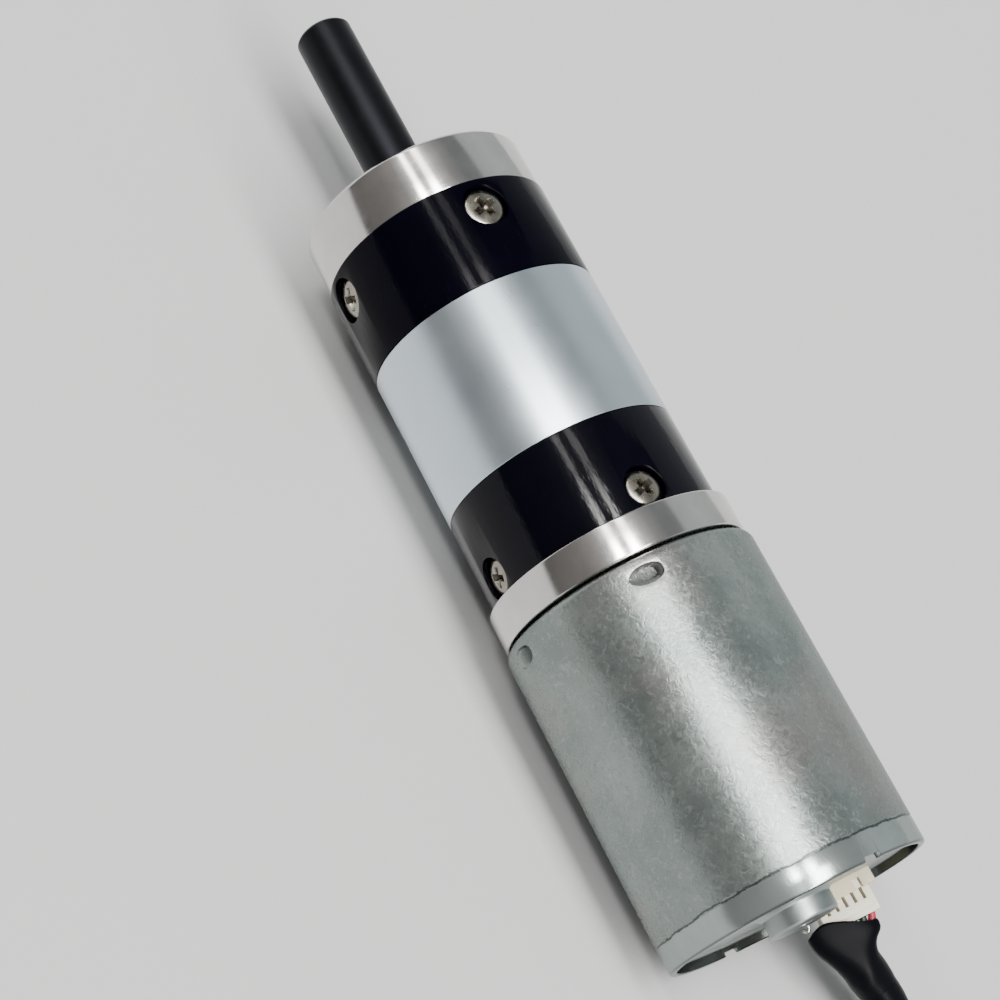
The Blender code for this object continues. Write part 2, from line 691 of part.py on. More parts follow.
def stator():
    """Laminated core with open slots, and the copper that fills them and turns round at both ends."""
    bore = []
    mouth = math.asin(SLOT_MOUTH / STATOR_BORE)
    neck = math.asin(SLOT_MOUTH / SLOT_RADIUS)
    for slot in range(STATOR_SLOTS):
        middle = math.tau * slot / STATOR_SLOTS
        turns = [math.pi + neck + (math.tau - 2 * neck) * i / 6 for i in range(7)]
        bulb = [(SLOT_CIRCLE + SLOT_RADIUS * math.cos(t), SLOT_RADIUS * math.sin(t)) for t in turns]
        lip = STATOR_BORE * math.cos(mouth)
        keyhole = [(lip, -SLOT_MOUTH), *bulb, (lip, SLOT_MOUTH)]
        land = math.pi / STATOR_SLOTS
        keyhole.append((STATOR_BORE * math.cos(land), STATOR_BORE * math.sin(land)))
        spin = Matrix.Rotation(middle, 2)
        bore += [tuple(spin @ Vector(point)) for point in keyhole]
    outer = circle(CAN_RADIUS - CAN_WALL - FIT, BIG)
    flat("stator_core", [outer, bore], STATOR_FRONT, STATOR_BACK, LAMINATION)
    ends = []
    for front in (STATOR_FRONT - FIT - COIL_OVERHANG, STATOR_BACK + FIT):
        back = front + COIL_OVERHANG
        inner, rim = SLOT_CIRCLE - COIL_RADIUS - 0.6 * MM, SLOT_CIRCLE + COIL_RADIUS + 0.6 * MM
        ends.append([(front, rim), (back, rim), (back, inner), (front, inner)])
    coils = turned("stator_winding", ends[0], COPPER, 27)
    combine(coils, turned("rear_turns", ends[1], COPPER, 27), "UNION")
    length = STATOR_BACK - STATOR_FRONT + COIL_OVERHANG
    for slot in range(STATOR_SLOTS):
        turn = math.tau * slot / STATOR_SLOTS
        middle = (STATOR_FRONT + STATOR_BACK) / 2
        centre = (SLOT_CIRCLE * math.cos(turn), SLOT_CIRCLE * math.sin(turn), -middle)
        combine(coils, rod(centre, (0, 0, 1), COIL_RADIUS, length, 6), "UNION")
    smooth(coils)


def rotor():
    rear = MOTOR_REAR_BEARING["bore"]
    step, front = MOTOR_REAR_BEARING["back"] - 0.4 * MM, 41.0 * MM
    back = MOTOR_REAR_BEARING["back"] + MOTOR_REAR_BEARING["width"]
    profile = [(front, 0), (front, MOTOR_SHAFT), (step, MOTOR_SHAFT), (step, rear), (back, rear), (back, 0)]
    smooth(turned("rotor_shaft", profile, GEAR_STEEL, 20))
    front, back = STATOR_FRONT + 1 * MM, STATOR_BACK - 1 * MM
    tubes = {
        "rotor_core": (MOTOR_SHAFT + FIT / 2, ROTOR_CORE_RADIUS, LAMINATION),
        "rotor_magnet": (ROTOR_CORE_RADIUS + FIT, MAGNET_RADIUS, MAGNET),
    }
    for name, (inner, outer, finish) in tubes.items():
        turned(name, [(front, outer), (back, outer), (back, inner), (front, inner)], finish)


def header_centre():
    """In the lead's frame."""
    return Vector((-(BOARD_BACK + FIT) - HEADER_SIZE.x / 2, PLUG_Y - 0.1 * MM, PLUG_Z))


def motor_end_cap():
    """The plate that closes the can, with the rear bearing's boss and a window for the header."""
    seat, bearing_back = MOTOR_REAR_BEARING["outer"] + FIT, MOTOR_REAR_BEARING["back"] + 3.1 * MM
    profile = [
        (END_CAP_FRONT, CAN_RADIUS - CAN_WALL - FIT),
        (END_CAP_BACK, CAN_RADIUS - CAN_WALL - FIT),
        (END_CAP_BACK, BOSS_RADIUS),
        (BOSS_BACK - 0.3 * MM, BOSS_RADIUS),
        (BOSS_BACK, BOSS_RADIUS - 0.3 * MM),
        (BOSS_BACK, 1.0 * MM),
        (bearing_back, 1.0 * MM),
        (bearing_back, seat),
        (END_CAP_FRONT, seat),
    ]
    cap = turned("motor_end_cap", profile, GALVANISED, BIG)
    window = Vector((8 * MM, HEADER_SIZE.y + 1.8 * MM, HEADER_SIZE.z + 0.2 * MM))
    centre = header_centre() + Vector((0, 0.8 * MM, -0.1 * MM))
    combine(cap, block(centre, window, LEAD_FRAME), "DIFFERENCE")
    smooth(cap)


def circuit_board():
    outline = circle(CAN_RADIUS - CAN_WALL - 2 * FIT, 32)
    flat("circuit_board", [outline, circle(3.5 * MM, 16)], BOARD_FRONT, BOARD_BACK, BOARD_GREEN)


# Lead


def plug_pieces():
    centre = header_centre()
    header = add("lead_header", box_mesh(HEADER_SIZE), HEADER_BEIGE, LEAD_FRAME)
    header.location = centre
    pocket = Vector((HEADER_SIZE.x, PLUG_SIZE.y + 2 * FIT, PLUG_SIZE.z + 2 * FIT))
    combine(header, block(centre - Vector((1.0 * MM, 0, 0)), pocket, LEAD_FRAME), "DIFFERENCE")
    plug = add("lead_plug", box_mesh(PLUG_SIZE), PLUG_WHITE, LEAD_FRAME)
    plug.location = (-PLUG_BACK + PLUG_SIZE.x / 2, centre.y, PLUG_Z)
    slot = Vector((1.2, 0.45, 0.8)) * MM
    for wire in range(WIRES):
        y = centre.y + (wire - (WIRES - 1) / 2) * WIRE_PITCH
        place = Vector((-107.9 * MM, y, PLUG_Z + PLUG_SIZE.z / 2))
        combine(plug, block(place, slot, LEAD_FRAME), "DIFFERENCE")


def tube(name, points, radius, finish, sides=2, parent=None):
    curve = bpy.data.curves.new(name, "CURVE")
    curve.dimensions = "3D"
    curve.bevel_depth = radius
    curve.bevel_resolution = sides
    curve.use_fill_caps = True
    spline = curve.splines.new("POLY")
    spline.points.add(len(points) - 1)
    for point, place in zip(spline.points, points, strict=True):
        point.co = (*place, 1)
    return add(name, curve, finish, parent)


def solder_pin():
    """A bare wire end that comes out beside the header and hooks over."""
    y, z = -1.35 * MM, -7.0 * MM
    places = [(-102.7, 0, 0), (-107.6, 0, 0.2), (-108.6, -0.1, 0.2), (-109.1, 0.25, 0.1), (-108.9, 0.75, 0)]
    points = [(x * MM, y + side * MM, z + up * MM) for x, side, up in places]
    tube("solder_pin", points, 0.25 * MM, NICKEL, 1, LEAD_FRAME)


def loft(name, sections, finish, parent=None):
    """A closed skin through rings of points, capped at both ends."""
    mesh = bpy.data.meshes.new(name)
    cage = bmesh.new()
    rings = [[cage.verts.new(point) for point in ring] for ring in sections]
    for a, b in zip(rings, rings[1:], strict=False):
        for i in range(len(a)):
            j = (i + 1) % len(a)
            cage.faces.new((a[i], a[j], b[j], b[i]))
    cage.faces.new(reversed(rings[0]))
    cage.faces.new(rings[-1])
    bmesh.ops.recalc_face_normals(cage, faces=cage.faces)
    cage.to_mesh(mesh)
    cage.free()
    mesh.shade_smooth()
    mesh.set_sharp_from_angle(angle=math.radians(40))
    return add(name, mesh, finish, parent)


def oval(centre, half_width, half_height, power, lean=(0, 0), count=20):
    """A section across X: power 1 is an ellipse, and less than 1 squares its corners.

    lean is how far the section's plane moves along X for each step along Y and along Z.
    """
    ring = []
    for i in range(count):
        turn = math.tau * i / count
        y = half_width * math.copysign(abs(math.cos(turn)) ** power, math.cos(turn))
        z = half_height * math.copysign(abs(math.sin(turn)) ** power, math.sin(turn))
        ring.append(centre + Vector((lean[0] * y + lean[1] * z, y, z)))
    return ring


def lead_boot():
    """The shrunk sleeve that gathers the flat row of wires into the round cable."""
    stations = (  # centre x, y, z, half width, half height, squareness, lean along Y and along Z
        (-110.8, -5.5, -7.9, 4.6, 1.7, 0.6, 0.0, 0.0),
        (-112.1, -5.3, -8.0, 4.2, 1.9, 0.7, 0.0, -0.1),
        (-113.6, -5.2, -8.2, 3.2, 2.3, 0.9, -0.1, -0.3),
        (-115.0, -5.3, -8.5, 2.8, 2.6, 1.0, -0.2, -0.5),
        (-116.2, -5.5, -9.0, 2.7, 2.7, 1.0, -0.3, -0.55),
    )
    sections = []
    for x, y, z, wide, high, power, *lean in stations:
        sections.append(oval(Vector((x, y, z)) * MM, wide * MM, high * MM, power, lean))
    loft("lead_boot", sections, SLEEVE_BLACK, LEAD_FRAME)


def smooth_route(points, per_span):
    """Points along a Catmull-Rom curve through the route's own points."""
    ends = [2 * points[0] - points[1], *points, 2 * points[-1] - points[-2]]
    route = []
    for a, b, c, d in zip(ends, ends[1:], ends[2:], ends[3:], strict=False):
        for i in range(per_span):
            t = i / per_span
            bend, twist = 2 * a - 5 * b + 4 * c - d, 3 * b - a - 3 * c + d
            route.append(0.5 * (2 * b + (c - a) * t + bend * t**2 + twist * t**3))
    return [*route, points[-1]]


def cable():
    """The stretch from the boot down to the surface, and the tail that lies on the hank."""
    rest = FLOOR_Z + CABLE_RADIUS
    route = [  # x, y, z
        (-116.5, -8.86, -6.13),
        (-120.5, -10.6, -7.85),
        (-124.5, -11.6, -10.0),
        (-128.6, -12.4, -12.3),
        (-133.0, -13.1, -14.3),
        (-138.2, -13.6, rest / MM),
    ]
    tube("cable", smooth_route([Vector(place) * MM for place in route], 2), CABLE_RADIUS, SLEEVE_BLACK)
    side, height = -HANK_FOLD, rest + 2 * CABLE_RADIUS + MESH_GAP
    xs = [HANK_NEAR_X + (TAIL_END_X - HANK_NEAR_X) * i / 4 for i in range(5)]
    tube("cable_tail", [(x, side, height) for x in xs], CABLE_RADIUS, SLEEVE_BLACK)


def cable_hank():
    """The outer shape of the cable's folded length: an outline with round ends, one cable thick."""
    radius = HANK_FOLD + CABLE_RADIUS
    curve = bpy.data.curves.new("cable_hank", "CURVE")
    curve.dimensions = "2D"
    curve.fill_mode = "BOTH"
    curve.extrude = CABLE_RADIUS
    spline = curve.splines.new("POLY")
    outline = []
    for centre_x, first in ((HANK_NEAR_X, -90), (HANK_NEAR_X - HANK_RUN, 90)):
        for i in range(13):
            turn = math.radians(first + 15 * i)
            outline.append((centre_x + radius * math.cos(turn), radius * math.sin(turn)))
    spline.points.add(len(outline) - 1)
    for point, (x, y) in zip(spline.points, outline, strict=True):
        point.co = (x, y, 0, 1)
    spline.use_cyclic_u = True
    hank = add("cable_hank", curve, SLEEVE_BLACK)
    hank.location.z = FLOOR_Z + CABLE_RADIUS


def cable_tie():
    """The tie's loop where it stands over the tail."""
    side, height = -HANK_FOLD, FLOOR_Z + 3 * CABLE_RADIUS + MESH_GAP
    radius = CABLE_RADIUS + MESH_GAP + 0.5 * MM
    turns = [math.radians(-35 + 250 * i / 8) for i in range(9)]
    points = [(TIE_X, side + radius * math.cos(t), height + radius * math.sin(t)) for t in turns]
    tube("cable_tie", points, 0.5 * MM, TIE_BLACK, 1)


def end_connector():
    side, low = -HANK_FOLD, FLOOR_Z + 2 * CABLE_RADIUS + MESH_GAP
    middle = low + CONNECTOR_SIZE.z / 2
    housing = add("end_connector", box_mesh(CONNECTOR_SIZE), PLUG_WHITE)
    housing.location = (CONNECTOR_X - CONNECTOR_SIZE.x / 2, side, middle)
    pocket = CONNECTOR_SIZE - Vector((0, 1.6, 1.6)) * MM
    place = housing.location - Vector((CONNECTOR_SIZE.x * 0.4, 0, 0))
    combine(housing, block(place, pocket), "DIFFERENCE")
    stations = (  # x, half width, half height
        (TAIL_END_X - MESH_GAP, 2.2, 2.2),
        ((TAIL_END_X + CONNECTOR_X) / 2, 3.4, 1.2),
        (CONNECTOR_X + MESH_GAP, 4.6, 0.7),
    )
    sections = [oval(Vector((x, side, middle)), wide * MM, high * MM, 0.8) for x, wide, high in stations]
    loft("end_wires", sections, SLEEVE_BLACK)


def build():
    front_cap()
    front_sleeve()
    ring_gear()
    rear_sleeve()
    motor_plate()
    radial_screws(FRONT_SCREWS)
    radial_screws(REAR_SCREWS)
    motor_screws()
    output_shaft()
    for place, back in OUTPUT_BEARING_BACKS.items():
        bearing(f"output_{place}_bearing", OUTPUT_BEARING, back)
    gear_train()
    motor_can()
    motor_bracket()
    bearing("motor_front_bearing", MOTOR_FRONT_BEARING, MOTOR_FRONT_BEARING["back"])
    bearing("motor_rear_bearing", MOTOR_REAR_BEARING, MOTOR_REAR_BEARING["back"])
    stator()
    rotor()
    motor_end_cap()
    circuit_board()
    plug_pieces()
    solder_pin()
    lead_boot()
    cable()
    cable_hank()
    cable_tie()
    end_connector()


build()
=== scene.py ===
"""The looks of the planetary gearmotor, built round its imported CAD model.

Metres, in the CAD frame: the origin is the centre of the gearbox's front face, on the shaft line, and +X
points out along the shaft. An angle about the shaft line is measured from +Z towards +Y.
"""

import json
import math

import bmesh
import bpy
from mathutils import Matrix, Vector


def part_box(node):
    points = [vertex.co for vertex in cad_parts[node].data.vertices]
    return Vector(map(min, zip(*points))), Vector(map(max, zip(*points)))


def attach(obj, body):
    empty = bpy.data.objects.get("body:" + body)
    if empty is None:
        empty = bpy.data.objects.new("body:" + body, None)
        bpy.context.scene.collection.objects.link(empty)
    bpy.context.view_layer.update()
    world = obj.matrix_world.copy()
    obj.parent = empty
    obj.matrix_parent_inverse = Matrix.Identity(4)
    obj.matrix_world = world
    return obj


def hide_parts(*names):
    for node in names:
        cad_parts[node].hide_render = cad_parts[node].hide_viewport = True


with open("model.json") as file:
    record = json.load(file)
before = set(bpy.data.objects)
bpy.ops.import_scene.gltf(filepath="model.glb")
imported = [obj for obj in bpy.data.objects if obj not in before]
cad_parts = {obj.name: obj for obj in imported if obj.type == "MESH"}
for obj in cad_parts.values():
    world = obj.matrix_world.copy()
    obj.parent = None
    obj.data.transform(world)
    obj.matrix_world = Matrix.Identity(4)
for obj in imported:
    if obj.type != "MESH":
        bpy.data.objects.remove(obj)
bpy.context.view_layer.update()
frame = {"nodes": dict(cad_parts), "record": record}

MM = 0.001
FLOOR_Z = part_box("cable_hank")[0].z
HOUSING = "housing"
ROUND = 128  # segments round the large turned pieces

# Camera, from the CAD frame's origin
EYE = Vector((-127.08, 153.62, 220.98)) * MM
LOOK = Vector((0.298, -0.5197, -0.8009))
CAMERA_UP = Vector((0.843, -0.2501, 0.4758))
LENS = 78.24

# Cable: the same route as in the CAD model, then one turn of the hank and its tail
CABLE_DIAMETER = 5.2 * MM
CABLE_RADIUS = CABLE_DIAMETER / 2
REST_Z = FLOOR_Z + CABLE_RADIUS
STACKED_Z = REST_Z + CABLE_DIAMETER + 0.3 * MM
HANK_FOLD = 3 * CABLE_DIAMETER
HANK_NEAR_X = -153.2 * MM
HANK_RUN = 60.0 * MM
TAIL_END_X = -191.0 * MM
TIE_X = -172.0 * MM
TIE_THICKNESS = 0.6 * MM
ROUTE = (
    (-116.5, -8.86, -6.13),
    (-120.5, -10.6, -7.85),
    (-124.5, -11.6, -10.0),
    (-128.6, -12.4, -12.3),
    (-133.0, -13.1, -14.3),
    (-138.2, -13.6, -14.9),
)

# The header and the plug are placed in a frame that is turned about the shaft line
LEAD_TURN = 24
LEAD_FRAME = Matrix.Rotation(-math.radians(LEAD_TURN), 4, "X")

SCREW_TOP = 15.5 * MM  # the heads' tops, from the shaft line
CAN_REAR, CAN_FRONT = (corner.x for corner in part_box("motor_can"))
CAN_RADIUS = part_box("motor_can")[1].z
CAN_WALL = 1.0 * MM
CAN_SHOULDER = 1.3 * MM
SHOULDER_X = CAN_FRONT - CAN_SHOULDER
BAND_X = CAN_REAR + 3.5 * MM  # the burnished band at the open end stops here
SPIGOT_RADIUS = 13.0 * MM
MOTOR_BORE = 6.1 * MM  # through the motor plate and the can's front
MOTOR_SCREWS = ("motor_screw_1", "motor_screw_2")
MOTOR_SCREW_HOLE = 1.7 * MM
GAP = 0.1 * MM  # between turned pieces that meet


# Materials


def shader(name):
    """A new material, its nodes and links, and its Principled shader."""
    made = bpy.data.materials.new(name)
    made.use_nodes = True
    tree = made.node_tree
    return made, tree, tree.nodes["Principled BSDF"]


def feed(tree, made, inputs):
    """Gives a node its inputs: a socket is linked and a constant is set."""
    for name, value in inputs.items():
        if isinstance(value, bpy.types.NodeSocket):
            tree.links.new(value, made.inputs[name])
        else:
            made.inputs[name].default_value = value


def node(tree, kind, inputs=None, **settings):
    """A new node with its settings and inputs."""
    made = tree.nodes.new(kind)
    for name, value in settings.items():
        setattr(made, name, value)
    feed(tree, made, inputs or {})
    return made


def calc(tree, operation, *values):
    """The result of a Math node."""
    return node(tree, "ShaderNodeMath", dict(enumerate(values)), operation=operation).outputs[0]


def place(tree):
    """Object coordinates."""
    return node(tree, "ShaderNodeTexCoord").outputs["Object"]


def polar(tree, where):
    """Coordinates about the shaft line: x, the distance from the line, and the angle about it."""
    axes = node(tree, "ShaderNodeSeparateXYZ", {0: where}).outputs
    flat = node(tree, "ShaderNodeCombineXYZ", {"Y": axes["Y"], "Z": axes["Z"]}).outputs[0]
    radius = node(tree, "ShaderNodeVectorMath", {0: flat}, operation="LENGTH").outputs["Value"]
    return axes["X"], radius, calc(tree, "ARCTAN2", axes["Y"], axes["Z"])


def turned_place(tree, across, around):
    """Coordinates of a turned surface: fine along the shaft line and out from it, coarse round it."""
    factors = (across, across, around)
    scaled = [calc(tree, "MULTIPLY", *pair) for pair in zip(polar(tree, place(tree)), factors, strict=True)]
    return node(tree, "ShaderNodeCombineXYZ", dict(zip("XYZ", scaled, strict=True))).outputs[0]


def noise(tree, where, scale=1.0, detail=4.0, roughness=0.5, distortion=0.0):
    inputs = {"Vector": where, "Scale": scale, "Detail": detail, "Roughness": roughness}
    inputs["Distortion"] = distortion
    return node(tree, "ShaderNodeTexNoise", inputs).outputs["Fac"]


def spread(tree, value, low, high, start=0.3, end=0.7):
    """A value between start and end, stretched to run from low to high."""
    inputs = {"Value": value, "From Min": start, "From Max": end, "To Min": low, "To Max": high}
    return node(tree, "ShaderNodeMapRange", inputs).outputs["Result"]


def blend(tree, factor, a, b):
    """Colour a where the factor is 0 and colour b where it is 1."""
    made = node(tree, "ShaderNodeMix", data_type="RGBA")
    for socket, value in ((made.inputs[0], factor), (made.inputs[6], a), (made.inputs[7], b)):
        if isinstance(value, bpy.types.NodeSocket):
            tree.links.new(value, socket)
        else:
            socket.default_value = value if isinstance(value, float) else (*value, 1)
    return made.outputs[2]


def bump(tree, main, height, distance, under=None):
    """Relief on a shader, over the relief under it if that is given."""
    inputs = {"Height": height, "Distance": distance, "Strength": 1.0}
    if under:
        inputs["Normal"] = under
    made = node(tree, "ShaderNodeBump", inputs).outputs["Normal"]
    feed(tree, main, {"Normal": made})
    return made


def brushed(tree, main, anisotropic):
    """Bare metal whose highlights stretch across marks that run round the shaft line."""
    tangent = node(tree, "ShaderNodeTangent", direction_type="RADIAL", axis="X").outputs[0]
    feed(tree, main, {"Metallic": 1.0, "Anisotropic": anisotropic, "Tangent": tangent})


def turned_metal(name, colour, roughness, marks, anisotropic=0.6):
    """Metal with lathe marks that run round the shaft line, and fine wear."""
    made, tree, main = shader(name)
    lines = noise(tree, turned_place(tree, 9000, 0.15), detail=3)
    wear = noise(tree, place(tree), 260, detail=6, roughness=0.65)
    dust = noise(tree, place(tree), 2600, detail=3)
    tone = blend(tree, spread(tree, wear, 0, 1), tuple(c * 0.9 for c in colour), colour)
    change = calc(tree, "ADD", spread(tree, wear, -0.03, 0.04), spread(tree, lines, -0.03, 0.04))
    feed(tree, main, {"Base Color": tone, "Roughness": calc(tree, "ADD", change, roughness)})
    brushed(tree, main, anisotropic)
    fine = bump(tree, main, lines, marks)
    bump(tree, main, dust, marks * 0.4, under=fine)
    return made


def black_anodised(name, ior, roughness):
    """Glossy black anodising with faint handling scratches."""
    made, tree, main = shader(name)
    wear = noise(tree, place(tree), 180, detail=6, roughness=0.6)
    scratches = noise(tree, turned_place(tree, 420, 60), detail=6, roughness=0.75, distortion=0.6)
    fine = spread(tree, scratches, 0, 1, 0.62, 0.72)
    tone = blend(tree, spread(tree, wear, 0, 1), (0.0004, 0.0003, 0.0018), (0.0007, 0.0006, 0.0027))
    scratched = blend(tree, fine, tone, (0.004, 0.0045, 0.008))
    gloss = spread(tree, wear, roughness - 0.02, roughness + 0.03)
    rough = calc(tree, "ADD", gloss, spread(tree, fine, 0, 0.14, 0, 1))
    feed(tree, main, {"Base Color": scratched, "Roughness": rough, "IOR": ior})
    lines = noise(tree, turned_place(tree, 5200, 0.2), detail=2)
    under = bump(tree, main, lines, 0.0012 * MM)
    waves = noise(tree, turned_place(tree, 500, 24), detail=3)
    rolled = bump(tree, main, waves, 0.016 * MM, under=under)
    bump(tree, main, noise(tree, place(tree), 1500, detail=3), 0.002 * MM, under=rolled)
    return made


def satin_anodised():
    """Clear satin anodising over blasted aluminium."""
    made, tree, main = shader("satin_aluminium")
    grain = noise(tree, place(tree), 9000, detail=2)
    cloud = noise(tree, place(tree), 120, detail=5, roughness=0.55)
    tone = blend(tree, spread(tree, cloud, 0, 1), (0.54, 0.615, 0.665), (0.58, 0.655, 0.70))
    feed(tree, main, {"Base Color": tone, "Roughness": spread(tree, cloud, 0.27, 0.31)})
    brushed(tree, main, 0.25)
    lines = noise(tree, turned_place(tree, 3500, 0.3), detail=2)
    under = bump(tree, main, lines, 0.0015 * MM)
    bump(tree, main, grain, 0.004 * MM, under=under)
    return made


def galvanised(rear_x, band_x, shoulder_x, dent_radius):
    """Zinc-plated steel: fine curled crystals over cloudy green-grey and warm grey.

    Behind band_x it is burnished, with a dark line at the border. Below dent_radius, in the dents and on the
    can's inner wall, and at the rear rim the colour is darkened as painted shade.
    """
    made, tree, main = shader("galvanised_steel")
    where = place(tree)
    x, radius, _ = polar(tree, where)
    curls = noise(tree, where, 950, detail=4, roughness=0.62, distortion=1.6)
    specks = noise(tree, where, 2300, detail=3, roughness=0.7, distortion=0.8)
    cloud = noise(tree, where, 85, detail=6, roughness=0.62, distortion=0.5)
    warm = noise(tree, where, 60, detail=4, roughness=0.5)
    base = blend(tree, spread(tree, cloud, 0, 1, 0.34, 0.66), (0.165, 0.195, 0.187), (0.25, 0.28, 0.269))
    base = blend(tree, spread(tree, warm, 0, 0.8, 0.5, 0.66), base, (0.26, 0.252, 0.243))
    light = blend(tree, spread(tree, curls, 0, 0.35, 0.56, 0.68), base, (0.42, 0.44, 0.43))
    tone = blend(tree, spread(tree, curls, 0.35, 0, 0.32, 0.42), light, (0.12, 0.135, 0.13))
    wobble = spread(tree, noise(tree, where, 330, detail=5, roughness=0.7), -0.28 * MM, 0.28 * MM)
    shifted = calc(tree, "ADD", x, wobble)
    burnished = spread(tree, shifted, 1, 0, band_x - 0.1 * MM, band_x + 0.05 * MM)
    away = calc(tree, "ABSOLUTE", calc(tree, "SUBTRACT", shifted, band_x))
    border = spread(tree, away, 0.85, 0, 0.06 * MM, 0.2 * MM)
    bright = blend(tree, spread(tree, cloud, 0, 1), (0.26, 0.298, 0.29), (0.36, 0.40, 0.39))
    tone = blend(tree, burnished, tone, bright)
    tone = blend(tree, border, tone, (0.035, 0.04, 0.04))
    # Painted shade: the rear rim is darkened.
    rim = spread(tree, x, 0.75, 0, rear_x + 0.08 * MM, rear_x + 0.32 * MM)
    tone = blend(tree, rim, tone, (0.05, 0.055, 0.052))
    # Painted shade: the dents and the can's inner wall, below dent_radius and behind the shoulder, are
    # darkened.
    sunk = spread(tree, radius, 0.9, 0, dent_radius - 0.4 * MM, dent_radius)
    on_wall = spread(tree, x, 1, 0, shoulder_x - 0.4 * MM, shoulder_x)
    painted_shade = calc(tree, "MULTIPLY", sunk, on_wall)
    rough = calc(tree, "ADD", spread(tree, curls, 0.21, 0.31), spread(tree, cloud, -0.02, 0.04))
    feed(tree, main, {
        "Base Color": blend(tree, painted_shade, tone, (0.045, 0.05, 0.047)),
        "Roughness": spread(tree, burnished, rough, 0.16, 0, 1),
        "Metallic": 0.85,
        "Specular Tint": (0.55, 0.58, 0.57, 1),
    })
    relief = calc(tree, "MULTIPLY", curls, spread(tree, burnished, 1.0, 0.12, 0, 1))
    under = bump(tree, main, relief, 0.042 * MM)
    bump(tree, main, specks, 0.006 * MM, under=under)
    return made


def nickel(name, top_radius):
    """A plated screw: warm grey, darkened in the recess below its top as painted shade."""
    made, tree, main = shader(name)
    _, radius, _ = polar(tree, place(tree))
    cloud = noise(tree, place(tree), 700, detail=5, roughness=0.6)
    tone = blend(tree, spread(tree, cloud, 0, 1), (0.225, 0.207, 0.175), (0.325, 0.303, 0.26))
    # Painted shade: darker below the head's top, in the cross recess and on the head's side.
    recess_shade = spread(tree, radius, 0.85, 0, top_radius - 0.8 * MM, top_radius - 0.4 * MM)
    shaded_tone = blend(tree, recess_shade, tone, (0.05, 0.042, 0.03))
    feed(tree, main, {"Base Color": shaded_tone, "Roughness": spread(tree, cloud, 0.2, 0.3), "Metallic": 1.0})
    bump(tree, main, noise(tree, place(tree), 2600, detail=3), 0.006 * MM)
    return made


def plain(name, colour, roughness, metallic, grain, depth, variation=0.12, clear=0.0, ior=1.5):
    """A moulded, enamelled or machined surface with small changes of tone, gloss and level (depth in mm)."""
    made, tree, main = shader(name)
    cloud = noise(tree, place(tree), grain / 8, detail=5, roughness=0.6)
    fine = noise(tree, place(tree), grain, detail=3)
    tone = blend(tree, spread(tree, cloud, 0, 1), tuple(c * (1 - variation) for c in colour), colour)
    gloss = spread(tree, cloud, roughness - 0.05, roughness + 0.05)
    feed(tree, main, {"Base Color": tone, "Roughness": gloss, "Metallic": metallic})
    feed(tree, main, {"Coat Weight": clear, "IOR": ior})
    bump(tree, main, fine, depth * MM)
    return made


MATERIALS = {
    "turned_aluminium": turned_metal("turned_aluminium", (0.62, 0.605, 0.59), 0.09, 0.002 * MM),
    "black_anodised": black_anodised("black_anodised", 1.25, 0.06),
    "black_anodised_front": black_anodised("black_anodised_front", 1.15, 0.1),
    "satin_aluminium": satin_anodised(),
    "galvanised_steel": galvanised(CAN_REAR, BAND_X, SHOULDER_X, CAN_RADIUS - 0.35 * MM),
    "plated_cover": turned_metal("plated_cover", (0.31, 0.345, 0.335), 0.38, 0.003 * MM, 0.2),
    "black_oxide_steel": turned_metal("black_oxide_steel", (0.0175, 0.0185, 0.0215), 0.38, 0.003 * MM, 0.3),
    "nickel_screw": nickel("nickel_screw", SCREW_TOP),
    "tinned_wire": plain("tinned_wire", (0.62, 0.62, 0.6), 0.24, 1.0, 2600, 0.006),
    "gear_steel": plain("gear_steel", (0.42, 0.42, 0.43), 0.32, 1.0, 3200, 0.004),
    "bearing_steel": turned_metal("bearing_steel", (0.66, 0.66, 0.68), 0.14, 0.001 * MM, 0.2),
    "bronze_washer": plain("bronze_washer", (0.55, 0.38, 0.18), 0.34, 1.0, 3000, 0.004),
    "stator_lamination": turned_metal("stator_lamination", (0.33, 0.33, 0.36), 0.42, 0.02 * MM, 0.2),
    "enamelled_copper": plain("enamelled_copper", (0.56, 0.2, 0.07), 0.28, 0.85, 2500, 0.03, 0.3, 0.5),
    "sintered_magnet": plain("sintered_magnet", (0.1, 0.1, 0.11), 0.5, 0.5, 5000, 0.01),
    "circuit_board": plain("circuit_board", (0.015, 0.11, 0.045), 0.35, 0.0, 1200, 0.01, 0.25, 0.4),
    "header_nylon": plain("header_nylon", (0.50, 0.43, 0.295), 0.45, 0.0, 1600, 0.008),
    "plug_nylon": plain("plug_nylon", (0.61, 0.57, 0.455), 0.42, 0.0, 1600, 0.008),
    "black_sleeve": plain("black_sleeve", (0.0028, 0.003, 0.0042), 0.36, 0.0, 900, 0.02, 0.3, ior=1.13),
    "tie_black": plain("tie_black", (0.03, 0.03, 0.032), 0.45, 0.0, 1500, 0.01),
    "red_wire": plain("red_wire", (0.36, 0.02, 0.045), 0.35, 0.0, 1500, 0.004),
    "green_wire": plain("green_wire", (0.012, 0.04, 0.028), 0.35, 0.0, 1500, 0.004),
    "dark_slot": plain("dark_slot", (0.05, 0.042, 0.025), 0.6, 0.0, 1500, 0.004),
}


# Mesh helpers


def show(name, data):
    """A new object in the scene."""
    obj = bpy.data.objects.new(name, data)
    bpy.context.scene.collection.objects.link(obj)
    return obj


def add(name, mesh, slot, body=HOUSING, stands_for=(), look=None):
    """A visible piece. stands_for names the CAD nodes that it replaces."""
    obj = show(name, mesh)
    mesh.materials.clear()
    mesh.materials.append(MATERIALS[look or slot])
    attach(obj, body)
    if stands_for:
        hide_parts(*stands_for)
    return obj


